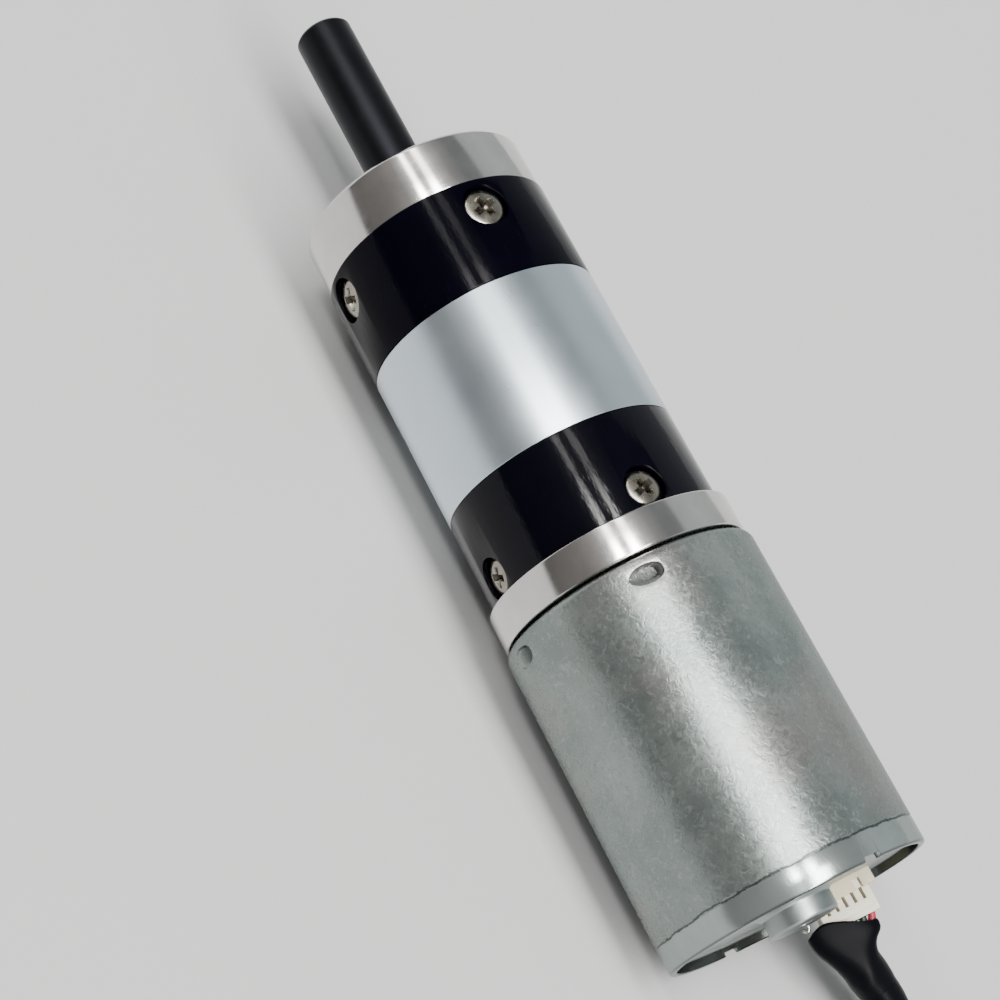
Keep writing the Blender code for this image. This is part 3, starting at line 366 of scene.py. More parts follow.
def rounded(points, reach, steps=3, closed=True):
    """An outline with each corner turned into a small curve."""
    made = []
    for i, point in enumerate(points):
        corner = Vector(point)
        if not closed and i in (0, len(points) - 1):
            made.append(corner)
            continue
        before, after = Vector(points[i - 1]) - corner, Vector(points[(i + 1) % len(points)]) - corner
        trim = min(reach, before.length * 0.45, after.length * 0.45)
        start, end = corner + before.normalized() * trim, corner + after.normalized() * trim
        for k in range(steps + 1):
            t = k / steps
            made.append((1 - t) ** 2 * start + 2 * t * (1 - t) * corner + t**2 * end)
    return made


def skin(rings, closed_ends=True, wrap=False):
    """A mesh through rings of points with the same count. wrap joins the last ring to the first."""
    cage = bmesh.new()
    made = [[cage.verts.new(point) for point in ring] for ring in rings]
    pairs = list(zip(made, made[1:], strict=False))
    if wrap:
        pairs.append((made[-1], made[0]))
    for a, b in pairs:
        for i in range(len(a)):
            j = (i + 1) % len(a)
            cage.faces.new((a[i], a[j], b[j], b[i]))
    if closed_ends and not wrap:
        cage.faces.new(reversed(made[0]))
        cage.faces.new(made[-1])
    bmesh.ops.remove_doubles(cage, verts=cage.verts, dist=1e-7)
    bmesh.ops.recalc_face_normals(cage, faces=cage.faces)
    return cage


def to_mesh(cage, name, sharp=32):
    mesh = bpy.data.meshes.new(name)
    cage.to_mesh(mesh)
    cage.free()
    mesh.shade_smooth()
    mesh.set_sharp_from_angle(angle=math.radians(sharp))
    return mesh


def lathe(name, profile, segments=ROUND, solid=False):
    """A turned mesh about the X axis from (x, radius) points. A solid one starts and ends on the axis."""
    turns = [math.tau * i / segments for i in range(segments)]
    if solid:
        profile = profile[1:-1]
    rings = [[(x, r * math.sin(t), r * math.cos(t)) for t in turns] for x, r in profile]
    return to_mesh(skin(rings, closed_ends=solid, wrap=not solid), name)


def direction(angle):
    """The unit vector out from the shaft line at an angle in degrees."""
    return Vector((0, math.sin(math.radians(angle)), math.cos(math.radians(angle))))


def upright(outwards):
    """A rotation whose Z points outwards and whose X is nearest to +X, or to +Z where Z is the shaft line."""
    z = Vector(outwards).normalized()
    along = Vector((0, 0, 1)) if abs(z.x) > 0.99 else Vector((1, 0, 0))
    x = (along - along.dot(z) * z).normalized()
    return Matrix((x, z.cross(x), z)).transposed().to_4x4()


def cylinder_cutter(centre, outwards, radius, length, segments=48):
    """A cylinder centred on a point, with its axis along outwards."""
    cage = bmesh.new()
    matrix = Matrix.Translation(centre) @ upright(outwards)
    bmesh.ops.create_cone(
        cage, cap_ends=True, segments=segments, radius1=radius, radius2=radius, depth=length, matrix=matrix
    )
    return to_mesh(cage, "cutter")


def block_cutter(matrix, size, round_edges=0.0):
    cage = bmesh.new()
    bmesh.ops.create_cube(cage, size=1, matrix=matrix @ Matrix.Diagonal((*size, 1)))
    if round_edges:
        bmesh.ops.bevel(cage, geom=cage.edges[:], offset=round_edges, segments=3, profile=0.5, affect="EDGES")
    return to_mesh(cage, "cutter")


def cut(mesh, cutters, edge=0.0, sharp=32):
    """The mesh with each cutter mesh taken away, and its edges broken by a small bevel."""
    obj = show("work", mesh)
    helpers = []
    for cutter in cutters:
        helper = show("cutter", cutter)
        boolean = obj.modifiers.new("cut", "BOOLEAN")
        boolean.operation, boolean.solver, boolean.object = "DIFFERENCE", "EXACT", helper
        helpers.append(helper)
    if edge:
        bevel = obj.modifiers.new("edge", "BEVEL")
        bevel.width, bevel.segments, bevel.limit_method = edge, 2, "ANGLE"
        bevel.angle_limit = math.radians(38)
    graph = bpy.context.evaluated_depsgraph_get()
    graph.update()
    made = bpy.data.meshes.new_from_object(obj.evaluated_get(graph))
    made.name = mesh.name
    for extra in (obj, *helpers):
        bpy.data.objects.remove(extra)
    made.shade_smooth()
    made.set_sharp_from_angle(angle=math.radians(sharp))
    return made


def tube_mesh(name, points, radius, sides):
    """A round mesh tube along points, with rounded ends."""
    points = [Vector(point) for point in points]
    up = Vector((0, 0, 1))
    rings = []
    last = len(points) - 1
    for i, point in enumerate(points):
        ahead = (points[min(i + 1, last)] - points[max(i - 1, 0)]).normalized()
        side = ahead.cross(up)
        side = side.normalized() if side.length > 1e-6 else Vector((0, 1, 0))
        up = side.cross(ahead).normalized()
        turns = [math.tau * k / sides for k in range(sides)]
        rings.append([point + radius * (math.cos(t) * side + math.sin(t) * up) for t in turns])
    caps = []
    for end, inwards in ((0, 1), (last, -1)):
        centre = points[end]
        out = radius * (centre - points[end + inwards]).normalized()
        for share, rise in ((0.85, 0.12), (0.5, 0.2)):
            caps.append([centre + (p - centre) * share + out * rise for p in rings[end]])
    return to_mesh(skin([caps[1], caps[0], *rings, *caps[2:]]), name, 50)


# Camera and light


def make_camera():
    """The camera that the scene is seen by."""
    data = bpy.data.cameras.new("camera")
    data.lens, data.sensor_width, data.clip_start = LENS, 36, 0.01
    obj = show("camera", data)
    ahead = LOOK.normalized()
    right = ahead.cross(CAMERA_UP).normalized()
    turn = Matrix((right, right.cross(ahead), -ahead)).transposed().to_4x4()
    obj.matrix_world = Matrix.Translation(EYE) @ turn
    bpy.context.scene.camera = obj


# Cable


def smooth_route(points, per_span):
    """Points along a Catmull-Rom curve through the route's own points."""
    ends = [2 * points[0] - points[1], *points, 2 * points[-1] - points[-2]]
    route = []
    for a, b, c, d in zip(ends, ends[1:], ends[2:], ends[3:], strict=False):
        for i in range(per_span):
            t = i / per_span
            bend, twist = 2 * a - 5 * b + 4 * c - d, 3 * b - a - 3 * c + d
            route.append(0.5 * (2 * b + (c - a) * t + bend * t**2 + twist * t**3))
    return [*route, points[-1]]


def ease(t):
    """A smooth step from 0 to 1."""
    t = min(max(t, 0), 1)
    return t * t * (3 - 2 * t)


def tie_lift(x):
    """How far the tie's own strap lifts the cable where it passes under it."""
    return TIE_THICKNESS * math.exp(-(((x - TIE_X) / (12 * MM)) ** 2))


def cable_route():
    """From the boot down to the surface, once round the hank, and back over its first run as the tail."""
    points = [Vector(spot) * MM for spot in ROUTE]
    points.append(Vector((HANK_NEAR_X + 9 * MM, -HANK_FOLD + 0.5 * MM, REST_Z)))
    far_x = HANK_NEAR_X - HANK_RUN
    runs = 8
    for i in range(runs):
        x = HANK_NEAR_X - HANK_RUN * i / runs
        points.append(Vector((x, -HANK_FOLD, REST_Z + tie_lift(x))))
    steps = 12
    for i in range(steps):
        turn = math.radians(-90 - 180 * i / steps)
        points.append(Vector((far_x + HANK_FOLD * math.cos(turn), HANK_FOLD * math.sin(turn), REST_Z)))
    for i in range(runs):
        points.append(Vector((far_x + HANK_RUN * i / runs, HANK_FOLD, REST_Z)))
    for i in range(steps):
        turn = math.radians(90 - 180 * i / steps)
        rise = REST_Z + (STACKED_Z - REST_Z) * ease(i / (0.7 * steps))
        points.append(Vector((HANK_NEAR_X + HANK_FOLD * math.cos(turn), HANK_FOLD * math.sin(turn), rise)))
    tail = 5
    for i in range(tail + 1):
        x = HANK_NEAR_X + (TAIL_END_X - HANK_NEAR_X) * i / tail
        points.append(Vector((x, -HANK_FOLD, STACKED_Z + tie_lift(x))))
    return smooth_route(points, 4)


def make_cable():
    """The round cable as one curve, and the points it runs through."""
    points = cable_route()
    curve = bpy.data.curves.new("cable_sleeve", "CURVE")
    curve.dimensions = "3D"
    curve.bevel_depth, curve.bevel_resolution, curve.use_fill_caps = CABLE_RADIUS, 8, True
    spline = curve.splines.new("POLY")
    spline.points.add(len(points) - 1)
    for point, spot in zip(spline.points, points, strict=True):
        point.co = (*spot, 1)
    spline.use_smooth = True
    curve.materials.append(MATERIALS["black_sleeve"])
    cable = show("cable_sleeve", curve)
    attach(cable, HOUSING)
    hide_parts("cable", "cable_hank", "cable_tail")
    return cable, points


def make_tie():
    """A flat strap round the tail and the run below it, with its two ends twisted together."""
    half_wide = CABLE_RADIUS + 0.15 * MM
    low, high = FLOOR_Z + TIE_THICKNESS, STACKED_Z + CABLE_RADIUS + tie_lift(TIE_X)
    middle, half_tall = (low + high) / 2, (high - low) / 2 - half_wide
    wide, thick = 1.5 * MM, 0.5 * MM
    section = rounded([(-wide, 0), (wide, 0), (wide, thick), (-wide, thick)], 0.15 * MM, 2)
    rings = []
    count = 48
    for i in range(count):
        turn = math.tau * i / count
        shift = half_tall if math.sin(turn) > 0 else -half_tall
        out = Vector((0, math.cos(turn), math.sin(turn)))
        centre = Vector((TIE_X, -HANK_FOLD, middle + shift)) + half_wide * out
        rings.append([centre + Vector((x, 0, 0)) + out * r for x, r in section])
    add("tie_strap", to_mesh(skin(rings, wrap=True), "tie_strap"), "tie_black", stands_for=["cable_tie"])
    twist = []
    steps = 24
    start = Vector((TIE_X, -HANK_FOLD + half_wide + 0.9 * MM, middle + 1.2 * MM))
    for i in range(steps + 1):
        t = i / steps
        turn = math.tau * 2 * t
        centre = start + Vector((7, 0, -1.5)) * MM * t
        side = 0.9 * MM * Vector((0, math.cos(turn), math.sin(turn)))
        flat = 0.3 * MM * Vector((0, -math.sin(turn), math.cos(turn)))
        twist.append([centre + a * side + b * flat for a, b in ((-1, -1), (1, -1), (1, 1), (-1, 1))])
    add("tie_twist", to_mesh(skin(twist), "tie_twist"), "tie_black")


def make_end_connector():
    """A five-way crimp housing with its wires fanned into the back."""
    low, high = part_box("end_connector")
    centre, size = (low + high) / 2, high - low
    body = block_cutter(Matrix.Translation(centre), size, 0.35 * MM)
    cutters = []
    pitch = 2.2 * MM
    for way in range(5):
        y = centre.y + (way - 2) * pitch
        mouth = Matrix.Translation((low.x, y, centre.z))
        cutters.append(block_cutter(mouth, (5 * MM, 1.5 * MM, 2.6 * MM)))
        window = Matrix.Translation((centre.x + 1.2 * MM, y, high.z))
        cutters.append(block_cutter(window, (2.0 * MM, 0.9 * MM, 1.6 * MM)))
        cutters.append(cylinder_cutter((high.x, y, centre.z), (1, 0, 0), 0.75 * MM, 3 * MM, 20))
    for side in (-1, 1):
        groove = Matrix.Translation((centre.x - 1.5 * MM, centre.y + side * size.y / 2, centre.z))
        cutters.append(block_cutter(groove, (size.x, 0.8 * MM, 1.4 * MM)))
    housing = cut(body, cutters, 0.06 * MM)
    connector = add("crimp_housing", housing, "plug_nylon", stands_for=["end_connector"])
    wires = []
    start_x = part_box("end_wires")[1].x + 2.2 * MM
    for way, look in enumerate(("red_wire", "tie_black", "green_wire", "tie_black", "black_sleeve")):
        y = centre.y + (way - 2) * pitch
        knots = [
            Vector((start_x, centre.y + (way - 2) * 0.7 * MM, centre.z - 0.2 * MM)),
            Vector((start_x - 2.8 * MM, centre.y + (way - 2) * 0.9 * MM, centre.z - 0.1 * MM)),
            Vector((high.x + 1.8 * MM, centre.y + (way - 2) * 1.9 * MM, centre.z)),
            Vector((high.x - 1.2 * MM, y, centre.z)),
        ]
        mesh = tube_mesh(f"end_wire_{way + 1}", smooth_route(knots, 6), 0.6 * MM, 14)
        stands_for = ["end_wires"] if way == 0 else ()
        wires.append(add(mesh.name, mesh, "black_sleeve", stands_for=stands_for, look=look))
    return [connector, *wires]


# Gearbox


def span(name):
    """A CAD node's rear x, front x and radius."""
    low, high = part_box(name)
    return low.x, high.x, max(high.y, high.z)


def middle_of(name):
    """The centre of a CAD node's box."""
    low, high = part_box(name)
    return (low + high) / 2


def screw_place(name):
    """Where a radial screw sits: its x, and its angle about the shaft line."""
    middle = middle_of(name)
    return middle.x, math.degrees(math.atan2(middle.y, middle.z))


HEAD_HEIGHT = 1.2 * MM
HEAD_DOME = 0.42 * MM
SCREW_LENGTH = 5.3 * MM
SCREWS = {"front": {"head": 2.7 * MM, "well": 3.05 * MM}, "rear": {"head": 2.35 * MM, "well": 2.8 * MM}}
SCREW_TURNS = (22, 61, 8, 40)  # how far each cross is turned, in degrees


def cross_cutter(matrix, size, depth):
    """A tapered cross, as a cross-head driver leaves it."""
    rings = []
    for z, arm, width in ((0.15 * MM, 1.12, 0.36), (-depth * 0.55, 0.84, 0.27), (-depth, 0.36, 0.14)):
        reach, half = size * arm, size * width
        ring = [(half, half), (half, reach), (-half, reach), (-half, half), (-reach, half), (-reach, -half)]
        ring += [(-x, -y) for x, y in ring]
        rings.append([matrix @ Vector((x, y, z)) for x, y in ring])
    return to_mesh(skin(rings), "cutter", 10)


def screw_mesh(name, head):
    """A pan-head screw whose head's top faces +X at the origin, with a threaded shank."""
    thread, groove, pitch, edge = 1.25 * MM, 0.16 * MM, 0.45 * MM, 0.15 * MM
    turns = [math.radians(a) for a in range(0, 91, 15)]
    dome = [(-HEAD_DOME * (1 - math.cos(t)), head * math.sin(t)) for t in turns]
    under, tip = -HEAD_HEIGHT, -SCREW_LENGTH
    profile = [(0, 0), *dome, (under + edge, head), (under, head - edge), (under, thread)]
    x = under - 0.2 * MM
    while x > tip + 0.6 * MM:
        profile += [(x, thread), (x - 0.22 * MM, thread - groove)]
        x -= pitch
    profile += [(tip + 0.4 * MM, thread - 0.1 * MM), (tip, thread - 0.5 * MM), (tip, 0)]
    mesh = lathe(name, profile, 48, solid=True)
    outwards = Matrix.Rotation(math.radians(90), 4, "Y")
    return cut(mesh, [cross_cutter(outwards, head * 0.56, HEAD_HEIGHT * 0.95)], 0.04 * MM)


def make_screws():
    """Four radial screws in each sleeve."""
    outwards = Matrix.Rotation(math.radians(-90), 4, "Y")
    for row, sizes in SCREWS.items():
        for number, turn in enumerate(SCREW_TURNS, 1):
            name = f"{row}_screw_{number}"
            x, angle = screw_place(name)
            mesh = screw_mesh(f"{name}_pan_head", sizes["head"])
            out = direction(angle)
            pose = Matrix.Translation(Vector((x, 0, 0)) + SCREW_TOP * out) @ upright(out)
            mesh.transform(pose @ Matrix.Rotation(math.radians(turn), 4, "Z") @ outwards)
            add(mesh.name, mesh, "nickel_screw", stands_for=[name])


def screw_wells(row):
    """Cutters for the four counterbores and the clearance holes under them."""
    cutters = []
    well, hole, depth = SCREWS[row]["well"], 1.4 * MM, 6 * MM
    floor = SCREW_TOP - HEAD_HEIGHT - GAP
    for number in range(1, 5):
        x, angle = screw_place(f"{row}_screw_{number}")
        out = direction(angle)
        along = Vector((x, 0, 0))
        cutters.append(cylinder_cutter(along + (floor + depth / 2) * out, out, well, depth))
        cutters.append(cylinder_cutter(along + SPIGOT_RADIUS * out, out, hole, depth, 32))
    return cutters


def make_front_cap():
    """The bearing housing: pilot, face with four holes, rim and the spigot inside the sleeve."""
    rear, front, radius = span("front_cap")
    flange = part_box("front_sleeve")[1].x + GAP
    pilot, seat, lip = 10 * MM, 8.1 * MM, 5.2 * MM
    chamfer, seat_x = 0.5 * MM, 0.9 * MM
    outline = [
        (front, lip), (front, pilot), (0, pilot), (0, radius - chamfer), (-chamfer, radius), (flange, radius),
        (flange, SPIGOT_RADIUS), (rear, SPIGOT_RADIUS), (rear, seat), (seat_x, seat), (seat_x, lip),
    ]
    mesh = lathe("front_bearing_cap", rounded(outline, 0.12 * MM, 2))
    hole_circle, hole, mouth = 13 * MM, 1.25 * MM, 1.6 * MM
    cutters = []
    for i in range(4):
        centre = hole_circle * direction(45 + 90 * i)
        cutters.append(cylinder_cutter(centre, (1, 0, 0), hole, 11 * MM, 32))
        cutters.append(cylinder_cutter(centre + Vector((0.9 * MM, 0, 0)), (1, 0, 0), mouth, 2.2 * MM, 32))
    add(mesh.name, cut(mesh, cutters, 0.08 * MM), "turned_aluminium", stands_for=["front_cap"])


def make_sleeve(row, look):
    """A black sleeve with its row of counterbores."""
    name = f"{row}_sleeve"
    rear, front, radius = span(name)
    bore = SPIGOT_RADIUS + GAP
    outline = [(front, radius), (rear, radius), (rear, bore), (front, bore)]
    mesh = lathe(f"{name}_anodised", rounded(outline, 0.14 * MM, 3))
    add(mesh.name, cut(mesh, screw_wells(row), 0.07 * MM), "black_anodised", stands_for=[name], look=look)


def involute(angle):
    return math.tan(angle) - angle


def ring_outline(x, teeth=36, module=0.7 * MM, pressure=math.radians(25)):
    """The internal gear's spaces: an involute outline at one station along the shaft line."""
    pitch = module * teeth / 2
    base = pitch * math.cos(pressure)
    levels = [pitch + module * k for k in (-0.8, -0.4, 0, 0.5, 1.0)]
    halves = []
    for radius in levels:
        slope = math.acos(base / max(radius, base))
        halves.append((math.pi / 2 + 0.06 * MM / module) / teeth + involute(pressure) - involute(slope))
    ring = []
    for tooth in range(teeth):
        middle = math.tau * (tooth + 0.5) / teeth
        flank = [(r, middle - h) for r, h in zip(levels, halves, strict=True)]
        flank += [(r, middle + h) for r, h in reversed(list(zip(levels, halves, strict=True)))]
        ring += [(x, r * math.sin(t), r * math.cos(t)) for r, t in flank]
    return ring


def make_ring_gear():
    """The toothed tube: a wide band between the sleeves and a neck inside each."""
    rear, front, radius = span("ring_gear")
    band_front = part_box("front_sleeve")[0].x - GAP
    band_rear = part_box("rear_sleeve")[1].x + GAP
    neck = 14.4 * MM
    outline = [
        (front, 0), (front, neck), (band_front, neck), (band_front, radius), (band_rear, radius),
        (band_rear, neck), (rear, neck), (rear, 0),
    ]
    body = lathe("ring_gear_tube", rounded(outline, 0.14 * MM, 3, closed=False), solid=True)
    teeth = to_mesh(skin([ring_outline(front + MM), ring_outline(rear - MM)]), "cutter", 20)
    add(body.name, cut(body, [teeth], sharp=20), "satin_aluminium", stands_for=["ring_gear"])


def make_output_shaft():
    """The plain shaft, with a chamfered end, a centre mark and the circlip's groove."""
    rear, front, radius = span("output_shaft")
    chamfer, groove, groove_x = 0.55 * MM, 3.6 * MM, 0.75 * MM
    outline = [
        (front, 0), (front, radius - chamfer), (front - chamfer, radius), (groove_x, radius),
        (groove_x, groove), (0, groove), (0, radius), (rear, radius), (rear, 0),
    ]
    mesh = lathe("output_shaft_turned", rounded(outline, 0.22 * MM, 4, closed=False), 96, solid=True)
    outside, bottom = front + MM, front - 0.7 * MM
    mark = [(outside, 0), (outside, 1.2 * MM), (bottom, 0.1 * MM), (bottom, 0)]
    shaft = cut(mesh, [lathe("cutter", mark, 32, solid=True)], 0.05 * MM)
    add("output_shaft_turned", shaft, "black_oxide_steel", body="output", stands_for=["output_shaft"])


def make_motor_plate():
    """The disc between gearbox and motor, with the two counterbored holes of the motor's screws."""
    rear, front, _ = span("motor_plate")
    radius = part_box("motor_plate")[1].y
    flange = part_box("rear_sleeve")[0].x - GAP
    edge = 0.22 * MM
    outline = [
        (front, SPIGOT_RADIUS), (flange, SPIGOT_RADIUS), (flange, radius - edge), (flange - edge, radius),
        (rear + edge, radius), (rear, radius - edge), (rear, MOTOR_BORE), (front, MOTOR_BORE),
    ]
    mesh = lathe("motor_plate_turned", rounded(outline, 0.08 * MM, 2))
    counterbore, twice_deep = 3.0 * MM, 5.2 * MM
    cutters = []
    for name in MOTOR_SCREWS:
        _, y, z = middle_of(name)
        cutters.append(cylinder_cutter((rear, y, z), (1, 0, 0), MOTOR_SCREW_HOLE, 30 * MM, 32))
        cutters.append(cylinder_cutter((front, y, z), (1, 0, 0), counterbore, twice_deep, 32))
    add(mesh.name, cut(mesh, cutters, 0.06 * MM), "turned_aluminium", stands_for=["motor_plate"])


# Motor

STAKE_ANGLES = (24.4, 93, 204.4, 273)
STAKE_X = -65.2 * MM
# A dent's outline at three heights, in mm: its reach to the front, to the rear and to each side
STAKE_LEVELS = ((0.5, 1.35, 1.5, 2.7), (-0.1, 1.2, 1.15, 2.2), (-0.42, 0.95, 0.6, 1.5))
NOTCH_ANGLES = (-2, 178)


def stake_cutter(angle):
    """A punched dent, pointed on one side and deepest at the other."""
    out = direction(angle)
    pose = Matrix.Translation(Vector((STAKE_X, 0, 0)) + CAN_RADIUS * out) @ upright(out)
    rings = []
    points = 24
    for z, front, rear, half in STAKE_LEVELS:
        ring = []
        for i in range(points):
            along, across = math.cos(math.tau * i / points), math.sin(math.tau * i / points)
            power, wide = (1.5, 1.1) if across > 0 else (0.7, 1.0)
            x = math.copysign((front if along > 0 else rear) * abs(along) ** power, along)
            dip = 0.23 * (1 - across) if z < 0 else 0
            ring.append(pose @ (Vector((x, half * wide * across, z - dip)) * MM))
        rings.append(ring)
    return to_mesh(skin(rings), "cutter", 10)


def make_can():
    """The drawn can: round shoulder, groove before the burnished band, open rear end with two notches."""
    rear, front, radius = CAN_REAR, CAN_FRONT, CAN_RADIUS
    inner, wall_x = radius - CAN_WALL, front - CAN_WALL
    shoulder = []
    for i in range(11):
        turn = math.radians(90 * i / 10)
        x = front - CAN_SHOULDER * (1 - math.cos(turn))
        shoulder.append((x, radius - CAN_SHOULDER * (1 - math.sin(turn))))
    rings = 24
    wall = [(SHOULDER_X + (BAND_X - SHOULDER_X) * i / rings, radius) for i in range(1, rings)]
    groove, band = radius - 0.09 * MM, radius - 0.02 * MM
    outline = [
        (front, MOTOR_BORE), *shoulder, *wall, (BAND_X + 0.22 * MM, radius), (BAND_X + 0.1 * MM, groove),
        (BAND_X - 0.05 * MM, groove), (BAND_X - 0.12 * MM, band), (rear + 0.35 * MM, band),
        (rear + 0.08 * MM, radius - 0.14 * MM), (rear, radius - 0.38 * MM), (rear, inner + 0.1 * MM),
        (rear + 0.12 * MM, inner), (wall_x, inner), (wall_x, MOTOR_BORE),
    ]
    mesh = lathe("motor_can_drawn", outline, 192)
    cutters = [stake_cutter(angle) for angle in STAKE_ANGLES]
    for angle in NOTCH_ANGLES:
        out = direction(angle)
        pose = Matrix.Translation(Vector((rear, 0, 0)) + (radius - CAN_WALL / 2) * out) @ upright(out)
        cutters.append(block_cutter(pose, (1.2 * MM, 2.3 * MM, 4 * MM), 0.15 * MM))
    for name in MOTOR_SCREWS:
        _, y, z = middle_of(name)
        cutters.append(cylinder_cutter((front, y, z), (1, 0, 0), MOTOR_SCREW_HOLE, 4 * MM, 32))
    add(mesh.name, cut(mesh, cutters, 0.09 * MM, sharp=30), "galvanised_steel", stands_for=["motor_can"])


HEADER_SIZE = Vector((4.8, 9.4, 4.1)) * MM
PLUG_SIZE = Vector((6.9, 7.5, 3.0)) * MM


def lead_place(name):
    """The centre of a CAD node, in the lead's frame."""
    return LEAD_FRAME.inverted() @ middle_of(name)


def header_window():
    """The end cap's opening, a little wider than the header."""
    spot = Matrix.Translation(lead_place("lead_header") + Vector((0, 0.8, -0.1)) * MM)
    size = (12 * MM, HEADER_SIZE.y + 1.8 * MM, HEADER_SIZE.z + 0.2 * MM)
    return block_cutter(LEAD_FRAME @ spot, size, 0.3 * MM)


def make_end_cap():
    """The rear cover: a slightly sunk face, the bearing boss and the header's opening."""
    rear, front, _ = span("motor_end_cap")
    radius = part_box("motor_end_cap")[1].z
    face = -105.6 * MM
    sunk, seat_x = face + 0.25 * MM, rear + 0.8 * MM
    boss, seat, vent = 4.6 * MM, 4.1 * MM, 1.0 * MM
    outline = [
        (front, radius), (face, radius), (face, radius - 1.2 * MM), (sunk, radius - 1.5 * MM),
        (sunk, boss + 1.4 * MM), (face - 0.2 * MM, boss + 0.5 * MM), (face - 0.6 * MM, boss),
        (rear + 0.3 * MM, boss), (rear, boss - 0.3 * MM), (rear, vent), (seat_x, vent), (seat_x, seat),
        (front, seat),
    ]
    mesh = lathe("motor_rear_cover", rounded(outline, 0.1 * MM, 2), 160)
    cover = cut(mesh, [header_window()], 0.08 * MM)
    add(cover.name, cover, "galvanised_steel", stands_for=["motor_end_cap"], look="plated_cover")


# Lead's near end


def add_turned(name, mesh, slot, stands_for=(), look=None):
    """A piece that was made in the lead's frame."""
    mesh.transform(LEAD_FRAME)
    return add(name, mesh, slot, stands_for=stands_for, look=look)


def make_header():
    """The shrouded header: thin walls and key slots in the upper one."""
    centre, size = lead_place("lead_header"), HEADER_SIZE
    low, high = centre - size / 2, centre + size / 2
    body = block_cutter(Matrix.Translation(centre), size, 0.12 * MM)
    pocket = Matrix.Translation(centre - Vector((1.0 * MM, 0, 0)))
    cutters = [block_cutter(pocket, (size.x, size.y - 1.7 * MM, size.z - 0.9 * MM))]
    for side in (-1, 1):
        slot_spot = Vector((low.x, centre.y + side * 2.4 * MM, high.z))
        cutters.append(block_cutter(Matrix.Translation(slot_spot), (2.6 * MM, 1.0 * MM, 1.4 * MM)))
        notch = Vector((low.x, centre.y + side * size.y / 2, centre.z))
        cutters.append(block_cutter(Matrix.Translation(notch), (3.0 * MM, 2.4 * MM, 1.2 * MM)))
    add_turned("shrouded_header", cut(body, cutters, 0.05 * MM), "header_nylon", ["lead_header"])


WIRES = ("dark_slot", "tie_black", "tie_black", "green_wire", "red_wire")
WIRE_PITCH = 1.25 * MM
GATHER_Y = -5.4 * MM  # the wires draw together towards this line


def make_plug():
    """The crimp plug, its windows and its five wires, which draw together behind it."""
    centre, size = lead_place("lead_plug"), PLUG_SIZE
    low, high = centre - size / 2, centre + size / 2
    body = block_cutter(Matrix.Translation(centre), size, 0.15 * MM)
    ledge = Matrix.Translation((low.x + 0.1 * MM, centre.y, high.z))
    cutters = [block_cutter(ledge, (1.2 * MM, size.y + MM, 0.7 * MM))]
    for way in range(5):
        y = centre.y + (way - 2) * WIRE_PITCH
        window = Matrix.Translation((low.x + 2.6 * MM, y, high.z))
        cutters.append(block_cutter(window, (1.5 * MM, 0.4 * MM, 5.0 * MM)))
        cutters.append(cylinder_cutter((low.x, y, centre.z), (1, 0, 0), 0.52 * MM, 2.4 * MM, 20))
    add_turned("crimp_plug", cut(body, cutters, 0.05 * MM), "plug_nylon", ["lead_plug"])
    for way, look in enumerate(WIRES):
        y = centre.y + (2 - way) * WIRE_PITCH
        squeeze = GATHER_Y + (y - GATHER_Y) * 0.55
        knots = [
            Vector((low.x + 0.9 * MM, y, centre.z)),
            Vector((low.x - 0.3 * MM, y, centre.z + 0.1 * MM)),
            Vector((low.x - 1.4 * MM, (y + squeeze) / 2, centre.z + 0.1 * MM)),
            Vector((low.x - 2.5 * MM, squeeze, centre.z - 0.2 * MM)),
        ]
        mesh = tube_mesh(f"lead_wire_{way + 1}", smooth_route(knots, 5), 0.5 * MM, 16)
        add_turned(mesh.name, mesh, "black_sleeve", look=look)


def make_pin():
    """A bare tinned wire end beside the header, hooked over."""
    spots = (
        (-103.0, -1.35, -7.0),
        (-106.0, -1.35, -6.9),
        (-107.6, -1.35, -6.8),
        (-108.6, -1.45, -6.8),
        (-109.05, -1.1, -6.9),
        (-108.7, -0.65, -7.0),
    )
    points = [Vector(spot) * MM for spot in spots]
    mesh = tube_mesh("hooked_pin", smooth_route(points, 5), 0.25 * MM, 16)
    add_turned("hooked_pin", mesh, "nickel_screw", ["solder_pin"], "tinned_wire")


BOOT_SIDES = 64


def boot_ring(x, y, z, half_wide, half_tall, power, lean=(0, 0), mouth=False):
    """One ring of the boot, in mm. A power below 1 squares it, lean tilts it and mouth cuts it obliquely."""
    ring = []
    for i in range(BOOT_SIDES):
        turn = math.tau * i / BOOT_SIDES
        across = half_wide * math.copysign(abs(math.cos(turn)) ** power, math.cos(turn))
        up = half_tall * math.copysign(abs(math.sin(turn)) ** power, math.sin(turn))
        shift = lean[0] * across + lean[1] * up
        if mouth:
            at = y + across
            shift = 2.3 * ease((at + 9.5) / 6.6) - 0.9 * ease((at + 2.6) / 2.2)
        ring.append(Vector((x + shift, y + across, z + up)) * MM)
    return ring


